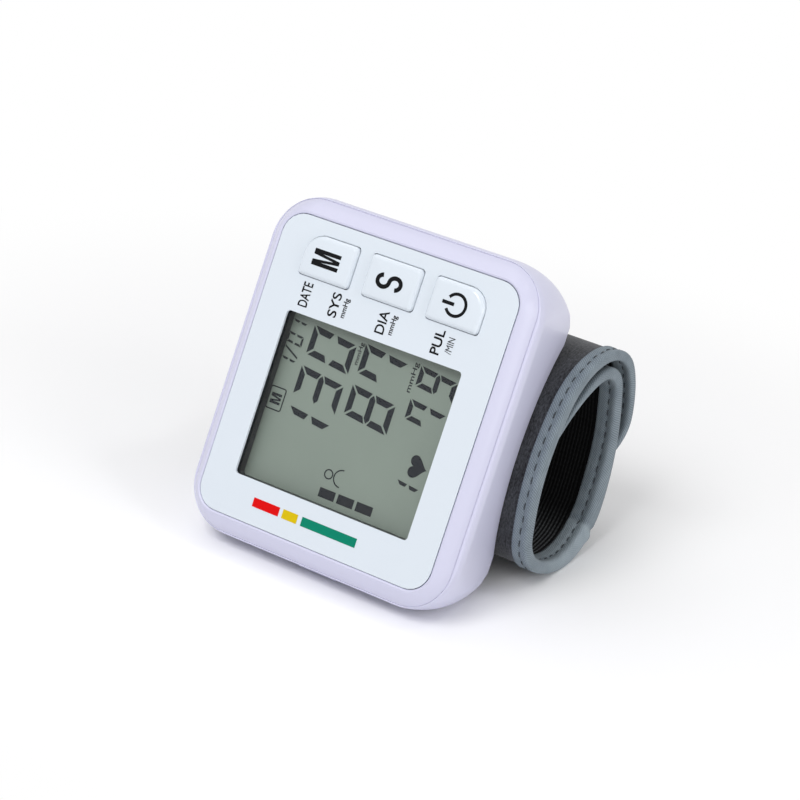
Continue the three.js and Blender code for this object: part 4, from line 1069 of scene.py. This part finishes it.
brushed = Finish("cuff_fabric", Sheen_Weight=0.2, Sheen_Roughness=0.5, Specular_IOR_Level=0.2)
where, along, across = cloth_axes(brushed)
fibres = brushed.noise(stretched(brushed, where, 900, 3600), 1, 4, 0.7)
flecks = brushed.noise(stretched(brushed, where, 1500, 2600), 1, 2, 0.6)
clouds = brushed.noise(stretched(brushed, where, 130, 420), 1, 2)
tone = fibres * 0.5 + flecks * 0.5
brushed.set(
    Base_Color=brushed.blend(
        (tone - 0.5) * 3.4 + 0.5 + (clouds - 0.5) * 0.8, srgb(18, 19, 22), srgb(86, 88, 92)
    ),
    Roughness=fibres * 0.15 + 0.8,
)
brushed.relief(fibres * 0.6 + flecks * 0.4, 0.00014)
finished("cuff_fabric", brushed)

RIB_PITCH = 0.00085
BEAD_PITCH = 0.0012
# The ribs are painted lighter only between these distances along the strip, low on the loop: painted light from
# the loop's opening above.
RIBS_LIT_FROM, RIBS_LIT_TO = 0.067, 0.078
ribbed = Finish("lining_fabric", Specular_IOR_Level=0.15)
where, along, across = cloth_axes(ribbed)
sway = ribbed.noise(stretched(ribbed, where, 60, 60), 1, 2) * 0.0012
rib = (across + sway).wave(RIB_PITCH) * 0.5 + 0.5
bead = (along + rib * 0.0003).wave(BEAD_PITCH) * 0.5 + 0.5
knit = rib * (bead * 0.4 + 0.6)
# Painted light: low on the loop the ribs are painted bright, as if lit through the loop's opening, and elsewhere
# the lining stays near black.
painted_light_on_ribs = along.ramp(RIBS_LIT_FROM, RIBS_LIT_TO) * 0.97 + 0.03
ribbed.set(
    Base_Color=ribbed.blend(knit * painted_light_on_ribs, srgb(3, 3, 4), srgb(96, 99, 101)),
    Roughness=knit * -0.2 + 0.9,
)
ribbed.relief(knit, 0.0003)
finished("lining_fabric", ribbed)

TWILL_PITCH = 0.00048
# Past the lap the tape is painted lighter between these distances along it: painted light on the tape where it
# faces up.
PAINTED_LIGHT_BEGINS = (0.1045, 0.1065)
PAINTED_LIGHT_FADES = (0.114, 0.135)
taped = Finish("binding_fabric", Sheen_Weight=0.1, Sheen_Roughness=0.4, Specular_IOR_Level=0.3)
where, along, across = cloth_axes(taped)
slant = (along * 0.8 + across * 0.6).wave(TWILL_PITCH)
pick = (across * 0.9 - along * 0.45).wave(TWILL_PITCH * 0.9)
weave = (slant * 0.5 + 0.5) * (pick * 0.3 + 0.7)
worn = taped.noise(where, 260, 3)
# Painted light: the tape just past the lap, low on the loop, is painted lighter, as if lit from above. The worn
# noise beside it is real wear.
painted_light_past_lap = along.ramp(*PAINTED_LIGHT_BEGINS) * (along.ramp(*PAINTED_LIGHT_FADES) * -1 + 1)
taped.set(
    Base_Color=taped.blend(
        weave * 0.6 + worn * 0.5 + painted_light_past_lap * 0.45 - 0.05, srgb(90, 101, 110), srgb(156, 168, 176)
    ),
    Roughness=worn * 0.15 + 0.75,
)
taped.relief(weave, 0.00011)
finished("binding_fabric", taped)

thread = Finish("stitch_thread", Sheen_Weight=0.2)
twist = thread.noise(thread.place(), 3000, 2)
thread.set(
    Base_Color=thread.blend(twist, srgb(26, 32, 38), srgb(58, 66, 73)), Roughness=twist * 0.2 + 0.7
)
thread.relief(twist, 0.00004)
finished("stitch_thread", thread)
print("cloths ready")

# %% [markdown]
# ## The padded strip
# The cuff's body is a flat pillow: an outer cloth and a lining, joined all round. It is drawn
# flat, in rows along and columns across, and every point is then carried to its place on the
# route. Cloth simulation moves the cloth a little, with its edges pinned where the tape will hold
# them, and pinned too where the housing presses on it.

# %% Shape of the pad
FREE_CORNER = (15.0, 9.0)
INNER_CORNER = 3.0
INNER_TAPER = 22.0
INNER_RECESS = 1.6
PAD_MARGIN = 0.6
UNDER_THE_TAPE = 0.1
WIDEST_TURN = math.pi / 2 * 0.92
TIGHT_SHARE, TIGHT_ROUND = 0.75, 1.4
WIDE_SHARE, WIDE_ROUND = 0.25, 6.0
ROW_STEP = 1.9
ROWS_ROUND_CORNER = 9
COLUMNS = 44


def recess(place):
    """How far the narrowed inner end draws back from the strip's full width."""
    return INNER_RECESS * (1 - np.clip(place / INNER_TAPER, 0, 1)) ** 1.5


def reach_at(place, margin):
    """Half the width of the strip at a distance along it, with its rounded corners."""
    end = CUFF_LENGTH - margin
    past = np.clip((place - end) / FREE_CORNER[0] + 1, 0, 1)
    free = FREE_CORNER[1] * (1 - np.sqrt(1 - past**2))
    before = np.maximum(margin + INNER_CORNER - place, 0)
    inner = INNER_CORNER - np.sqrt(np.maximum(INNER_CORNER**2 - before**2, 0))
    return CUFF_HALF_WIDTH - margin - free - inner - recess(place)


def pad_rows():
    start, end = PAD_MARGIN, CUFF_LENGTH - PAD_MARGIN
    turn = np.sin(np.linspace(0, math.pi / 2, ROWS_ROUND_CORNER))
    first = start + INNER_CORNER * (1 - turn[::-1])
    last = end - FREE_CORNER[0] * (1 - turn)
    middle = np.linspace(first[-1], last[0], int((last[0] - first[-1]) / ROW_STEP))
    return np.concatenate((first[:-1], middle, last[1:]))


def edge_round(distance, depth):
    """Height of a rounded edge as a share, from 0 at the edge to 1 at the depth."""
    share = np.clip(distance / depth, 0, 1)
    return np.sqrt(1 - (1 - share) ** 2)


PLACES = pad_rows()
SPREAD = np.sin(np.linspace(-WIDEST_TURN, WIDEST_TURN, COLUMNS + 1)) / math.sin(WIDEST_TURN)
REACH = reach_at(PLACES, PAD_MARGIN)
ALONG = np.repeat(PLACES[:, None], COLUMNS + 1, axis=1)
ACROSS = REACH[:, None] * SPREAD[None, :]
TO_EDGE = np.minimum(
    REACH[:, None] - np.abs(ACROSS),
    np.minimum(ALONG - PAD_MARGIN, CUFF_LENGTH - PAD_MARGIN - ALONG),
)
HALF_PAD = along_cuff(ALONG)[0] / 2 - TAPE - UNDER_THE_TAPE
SWELL = HALF_PAD * (
    TIGHT_SHARE * edge_round(TO_EDGE, TIGHT_ROUND) + WIDE_SHARE * edge_round(TO_EDGE, WIDE_ROUND)
)

# %% Build the pad as two faces with one shared edge
rows, columns = ALONG.shape
number = np.arange(rows * columns).reshape(rows, columns)
on_edge = np.ones((rows, columns), bool)
on_edge[1:-1, 1:-1] = False
under = np.where(on_edge, number, rows * columns + np.cumsum(~on_edge).reshape(rows, columns) - 1)
points = np.concatenate(
    (
        cuff_point(ALONG, ACROSS, SWELL).reshape(-1, 3),
        cuff_point(ALONG, ACROSS, -SWELL)[~on_edge],
    )
)


def quads(grid, flip=False):
    """Faces between neighbours in a grid of vertex numbers."""
    corners = (grid[:-1, :-1], grid[1:, :-1], grid[1:, 1:], grid[:-1, 1:])
    faces = np.stack(corners, -1).reshape(-1, 4)
    return faces[:, ::-1] if flip else faces


def cloth_piece(name, points, faces, spots, slots, which=None):
    """A mesh with a UV map in metres. spots gives along and across in mm for every vertex."""
    piece = new_piece(name, points.tolist(), faces.tolist(), *slots)
    mesh = piece.data
    if which is not None:
        mesh.polygons.foreach_set("material_index", which)
    corners = np.empty(len(mesh.loops), int)
    mesh.loops.foreach_get("vertex_index", corners)
    layer = mesh.uv_layers.new(name=CLOTH_MAP)
    layer.data.foreach_set("uv", (spots[corners] * MM).ravel())
    mesh.shade_smooth()
    return piece


outer_faces, inner_faces = quads(number), quads(under, flip=True)
spots = np.stack((ALONG, ACROSS), -1)
pad_spots = np.concatenate((spots.reshape(-1, 2), spots[~on_edge]))
cuff_pad = cloth_piece(
    "cuff_pad", points, np.vstack((outer_faces, inner_faces)), pad_spots,
    ("cuff_fabric", "lining_fabric"), [0] * len(outer_faces) + [1] * len(inner_faces),
)
print("pad:", len(points), "points")

# %% [markdown]
# ## Settling the pad
# The cloth solver settles the pad under pressure, with gravity off and with the points under the
# tape and against the housing pinned. The pad's faces point inward, so the pressure draws the
# cloth in instead of blowing it up. Afterwards each point may only stand off its first place by
# a limit, which is largest over the air bladder.

# %% Cloth simulation
PIN_WIDTH = 4.2
BLADDER_LIMIT = 0.9
THIN_LIMIT = 0.25
HOUSING_LIMIT = 0.04
BLADDER_STARTS, BLADDER_ENDS = (0.16, 0.26), (0.47, 0.54)
HOUSING_STARTS, HOUSING_ENDS = (0.50, 0.54), (0.74, 0.79)
LIMIT_EASES = (PIN_WIDTH - 2.5, PIN_WIDTH + 4)
PINS_EASE = (PIN_WIDTH - 1.5, PIN_WIDTH + 1.5)
FRAMES = 20
CLOTH = {
    "quality": 6, "mass": 0.2, "tension_stiffness": 12, "compression_stiffness": 12,
    "bending_stiffness": 0.4, "use_pressure": True, "uniform_pressure_force": 4,
}


def smooth(value, low, high):
    share = np.clip((value - low) / (high - low), 0, 1)
    return share * share * (3 - 2 * share)


def between(value, rise, fall):
    return smooth(value, *rise) * (1 - smooth(value, *fall))


pad_edge = np.concatenate((TO_EDGE.ravel(), TO_EDGE[~on_edge]))
share_along = pad_spots[:, 0] / CUFF_LENGTH
in_bladder = between(share_along, BLADDER_STARTS, BLADDER_ENDS)
is_outer = np.arange(len(points)) < rows * columns
at_housing = between(share_along, HOUSING_STARTS, HOUSING_ENDS) * is_outer
limit = THIN_LIMIT + (BLADDER_LIMIT - THIN_LIMIT) * in_bladder
limit = limit * (1 - at_housing) + HOUSING_LIMIT * at_housing
limit *= smooth(pad_edge, *LIMIT_EASES)


def settle_pad(piece):
    pins = piece.vertex_groups.new(name="pinned")
    hold = np.maximum(1 - smooth(pad_edge, *PINS_EASE), at_housing)
    for i in np.flatnonzero(hold > 0.01):
        pins.add([int(i)], float(hold[i]), "REPLACE")
    take(piece, piece.name)
    bpy.ops.object.modifier_add(type="CLOTH")
    cloth = piece.modifiers[-1]
    for setting, value in CLOTH.items():
        setattr(cloth.settings, setting, value)
    cloth.settings.vertex_group_mass = "pinned"
    cloth.settings.effector_weights.gravity = 0
    cloth.collision_settings.use_collision = False
    cloth.point_cache.frame_start, cloth.point_cache.frame_end = 1, FRAMES
    for frame_number in range(1, FRAMES + 1):
        bpy.context.scene.frame_set(frame_number)
    bpy.ops.object.modifier_apply(modifier=cloth.name)
    bpy.context.scene.frame_set(1)
    piece.vertex_groups.clear()


settle_pad(cuff_pad)
moved = read_points(cuff_pad) - points
far = np.linalg.norm(moved, axis=1)
keep = np.minimum(1, limit * MM / np.maximum(far, 1e-9))
cuff_pad.data.vertices.foreach_set("co", (points + moved * keep[:, None]).ravel())
cuff_pad.data.update()
farthest, kept = (round(float(v.max()) / MM, 2) for v in (far, far * keep))
print("pad moved up to", farthest, "mm, kept", kept)

# %% [markdown]
# ## Edge tape
# A woven tape is folded round the strip's edge and sewn through with one row of stitches. It is a
# U in section, swept along the edge in plan. The two lengths of tape meet in the middle of each
# end, and low on the loop each tape laps over itself. The needle pulls the tape in, so the section
# is pinched at the row, most where a stitch dives, and the tape bulges between the stitches.

# %% Edge of the strip in plan
OUTER_HEM = 3.8
INNER_HEM = 4.6
STITCH_LINE = 2.0
SQUARENESS = 0.6
STITCH_PITCH = 2.9
EDGE_STEP = 0.5
DEEPEST_ROUND = 1.5
PULL_WIDTH, ROW_PULL, DIVE_PULL = 0.5, 0.2, 0.2
LAP_AT = 69.5
LAP_LUMP, LUMP_WIDTH, LUMP_PAST = 0.4, 1.2, 1.5
LAP_CREASE, CREASE_WIDTH = 0.5, 0.55
LAP_SIDEWAYS = 0.35


def edge_in_plan():
    """The edge of the right half, from the inner end's middle to the free end's middle."""
    inner = (INNER_CORNER, CUFF_HALF_WIDTH - INNER_CORNER)
    free = (CUFF_LENGTH - FREE_CORNER[0], CUFF_HALF_WIDTH - FREE_CORNER[1])
    marks = [(0, 0.02)]
    marks += arc(inner, INNER_CORNER, INNER_CORNER, 180, 90, 18)
    marks += [(place, CUFF_HALF_WIDTH) for place in np.linspace(INNER_CORNER, INNER_TAPER, 24)[1:]]
    marks = [(place, across - min(recess(place), across - 0.02)) for place, across in marks]
    marks += arc(free, *FREE_CORNER, 90, 0, 54)
    marks += [(CUFF_LENGTH, 0.02)]
    marks = np.array(marks)
    run = distances(marks)
    places = np.linspace(0, run[-1], int(run[-1] / EDGE_STEP))
    line = np.stack(read_between(places, run, marks), -1)
    return places, line, -leftward(line)


EDGE_AT, EDGE_LINE, EDGE_INWARD = edge_in_plan()
EDGE_HALF = along_cuff(EDGE_LINE[:, 0])[0] / 2


def edge_depth(half):
    """How far in from the edge its rounding reaches."""
    return np.minimum(half * 0.8, DEEPEST_ROUND)


def pinch(distance, run):
    """How far the needle pulls the tape in at a distance from the edge."""
    row = np.exp(-(((distance - STITCH_LINE) / PULL_WIDTH) ** 2))
    dive = 0.5 + 0.5 * np.cos(2 * math.pi * run / STITCH_PITCH)
    return row * (ROW_PULL + DIVE_PULL * dive)


def lap(place):
    """How far the tape stands off where it laps over itself: a crease, then a soft lump."""
    past = place - LAP_AT
    lump = LAP_LUMP * np.exp(-(((past - LUMP_PAST) / LUMP_WIDTH) ** 2))
    return lump - LAP_CREASE * np.exp(-((past / CREASE_WIDTH) ** 2))


def tape_section(half, run):
    """Points of the U from its outer hem round the edge to its inner hem: distance in, and over."""
    depth = edge_depth(half)
    outer = np.linspace(OUTER_HEM, depth, 9)[:-1]
    inner = np.linspace(INNER_HEM, depth, 9)[:-1]
    turns = np.linspace(math.pi / 2, -math.pi / 2, 15)
    across, up = np.abs(np.cos(turns)) ** SQUARENESS, np.abs(np.sin(turns)) ** SQUARENESS
    inward = np.concatenate((outer, depth * (1 - across), inner[::-1]))
    over = np.concatenate((np.full(8, half), half * np.sign(turns) * up, np.full(8, -half)))
    side = np.sign(over) * np.minimum(1, np.abs(over) / half) ** 4
    return inward, over - side * pinch(inward, run)


def inside_of(inward, over):
    """The same section, one cloth thickness further in."""
    line = np.stack((inward, over), -1)
    return (line + TAPE * leftward(line)).T


def tape_piece(name, sign):
    rings, spots = [], []
    for run, (place, across), (in_place, in_across), half in zip(
        EDGE_AT, EDGE_LINE, EDGE_INWARD, EDGE_HALF
    ):
        inward, over = tape_section(half, run)
        inner, inner_over = inside_of(inward, over)
        distance = np.concatenate((inward, inner[::-1])) - LAP_SIDEWAYS * lap(place)
        height = np.concatenate((over, inner_over[::-1]))
        height = height + lap(place) * np.sign(height)
        at = place + in_place * distance
        side = np.maximum(across + in_across * distance, 0.02)
        rings.append(cuff_point(at, sign * side, height))
        girth = np.cumsum(np.hypot(np.gradient(inward), np.gradient(over)))
        spots.append(np.stack((np.full(2 * len(girth), run), np.append(girth, girth[::-1])), -1))
    count = len(rings[0])
    grid = np.arange(len(rings) * count).reshape(len(rings), count)
    grid = np.hstack((grid, grid[:, :1]))
    half_count = count // 2
    caps = []
    for row, flip in ((0, False), (len(rings) - 1, True)):
        base = row * count
        for i in range(half_count - 1):
            cap = [base + i, base + i + 1, base + count - 2 - i, base + count - 1 - i]
            caps.append(cap[::-1] if flip else cap)
    faces = np.vstack((quads(grid), caps))
    return faces_outward(cloth_piece(
        name, np.vstack(rings), faces, np.vstack(spots), ("binding_fabric",)
    ))


for name, sign in (("left", -1), ("right", 1)):
    tape = tape_piece(f"edge_tape_{name}", sign)
    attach(tape, "monitor")
    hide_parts(f"binding_{name}")
print("tape round each side:", round(EDGE_AT[-1], 1), "mm")

# %% Stitches
STITCH_LENGTH = 1.75
STITCH_RADIUS = 0.17
STITCH_SIDES = 6
STITCH_LIFT, STITCH_ABOVE = 0.6, 0.02
STITCH_SWAY, STITCH_TURN = 0.08, 0.05
STITCH_SHAPE = (
    (-0.5, 0.3, -0.28), (-0.4, 0.85, 0.0), (0.0, 1.0, 0.1), (0.4, 0.85, 0.0), (0.5, 0.3, -0.28),
)
chance = np.random.default_rng(7)


def stitch_row(name, sign):
    """Stitches on both faces of one edge, each a short thread whose ends dive into the tape."""
    places, faces = [], []
    starts = np.arange(STITCH_PITCH, EDGE_AT[-1] - STITCH_PITCH, STITCH_PITCH)
    for face_side in (1, -1):
        for middle in starts + STITCH_PITCH / 2:
            sway, turn = chance.normal(0, STITCH_SWAY), chance.normal(0, STITCH_TURN)
            base = len(places) * STITCH_SIDES
            for share, size, lift in STITCH_SHAPE:
                run = middle + share * STITCH_LENGTH
                x = read_between(run, EDGE_AT, EDGE_LINE)
                n = read_between(run, EDGE_AT, EDGE_INWARD)
                half = np.interp(run, EDGE_AT, EDGE_HALF)
                inward, over = tape_section(half, run)
                away = STITCH_LINE + sway + turn * share
                height = np.interp(away, inward[8::-1], over[8::-1]) + lap(x[0])
                height += lift * STITCH_LIFT + STITCH_ABOVE
                angles = np.linspace(0, 2 * math.pi, STITCH_SIDES, endpoint=False)
                d = away + STITCH_RADIUS * size * np.cos(angles)
                h = face_side * (height + STITCH_RADIUS * size * np.sin(angles))
                at, across = x[0] + n[0] * d, x[1] + n[1] * d
                places.append(cuff_point(at, sign * across, h))
            for ring_number in range(len(STITCH_SHAPE) - 1):
                for i in range(STITCH_SIDES):
                    j, r = (i + 1) % STITCH_SIDES, base + ring_number * STITCH_SIDES
                    faces.append((r + i, r + j, r + j + STITCH_SIDES, r + i + STITCH_SIDES))
            last = base + (len(STITCH_SHAPE) - 1) * STITCH_SIDES
            for first in (base, last):
                faces.append((first, first + 1, first + 2, first + 3))
                faces.append((first, first + 3, first + 4, first + 5))
    piece = new_piece(name, np.vstack(places).tolist(), faces, "stitch_thread")
    piece.data.shade_smooth()
    return faces_outward(piece)


for name, sign in (("left", -1), ("right", 1)):
    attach(stitch_row(f"stitches_{name}", sign), "monitor")

# %% Finish the pad
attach(cuff_pad, "monitor")
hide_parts("outer_fabric", "cuff_lining")
take(cuff_pad, "cuff_pad")
bpy.ops.object.modifier_add(type="SUBSURF")
cuff_pad.modifiers[-1].levels = cuff_pad.modifiers[-1].render_levels = 1
bpy.ops.object.modifier_apply(modifier=cuff_pad.modifiers[-1].name)

# %% [markdown]
# ## Floor and backdrop
# The photograph has a white ground that only shows the object's soft shadow. A large plane gives
# it: near the object it is a pale matt floor, and further off it blends into plain white.

# %% Floor
FLOOR_SIZE = 6
FLOOR_MIDDLE, FLOOR_STRETCH = 0.03, 0.7
FLOOR_FADES = (0.07, 0.165)
floor = added("floor", bpy.ops.mesh.primitive_plane_add, size=FLOOR_SIZE)
pale = Finish("floor_card", Roughness=0.9)
x, y = pale.axes(pale.place())
pale.set(Base_Color=srgb(253, 253, 254))
behind = y - FLOOR_MIDDLE
far_off = (x * x * FLOOR_STRETCH + behind * behind) ** 0.5
white = pale.node("ShaderNodeEmission", None, {"Color": (1, 1, 1), "Strength": 1.0})
pale.show(far_off.ramp(*FLOOR_FADES), Wire(pale, pale.surface.outputs[0]), white)
floor.data.materials.append(pale.material)

# %% [markdown]
# ## Light
# A soft key lamp in front, a wide one overhead, one from the side for the walls and a small one
# for a glint. The sky gives even light at less than half strength, but the camera and the
# reflections see it plain white.

# %% Lights
SKY_LIGHT, SKY_SEEN = 0.42, 1.0


def lamp(name, place, aim, size, power):
    data = bpy.data.lights.new(name, "AREA")
    data.shape = "DISK"
    data.size = size
    data.energy = power
    light = bpy.data.objects.new(name, data)
    light.location = place
    light.rotation_euler = (Vector(aim) - Vector(place)).to_track_quat("-Z", "Y").to_euler()
    bpy.context.scene.collection.objects.link(light)


lamp("key", (-0.05, -0.6, 0.75), (0, 0, 0.04), 0.5, 4.3)
lamp("top", (-0.25, 0.05, 0.9), (0, 0, 0.03), 0.8, 1.5)
lamp("side", (0.85, -0.1, 0.3), (0, 0, 0.04), 0.6, 2.2)
lamp("glint", (0.41, 0.127, 0.86), (0, 0, 0.07), 0.1, 0.35)

world = bpy.data.worlds.new("studio")
world.use_nodes = True
bpy.context.scene.world = world
sky = world.node_tree
background = next(n for n in sky.nodes if n.type == "BACKGROUND")
rays = sky.nodes.new("ShaderNodeLightPath")
seen = sky.nodes.new("ShaderNodeMath")
seen.operation = "MAXIMUM"
sky.links.new(rays.outputs["Is Camera Ray"], seen.inputs[0])
sky.links.new(rays.outputs["Is Glossy Ray"], seen.inputs[1])
strength = sky.nodes.new("ShaderNodeMix")
strength.inputs[2].default_value = SKY_LIGHT
strength.inputs[3].default_value = SKY_SEEN
sky.links.new(seen.outputs[0], strength.inputs[0])
sky.links.new(strength.outputs[0], background.inputs["Strength"])
background.inputs["Color"].default_value = (1, 1, 1, 1)

bpy.context.scene.view_settings.view_transform = "Standard"
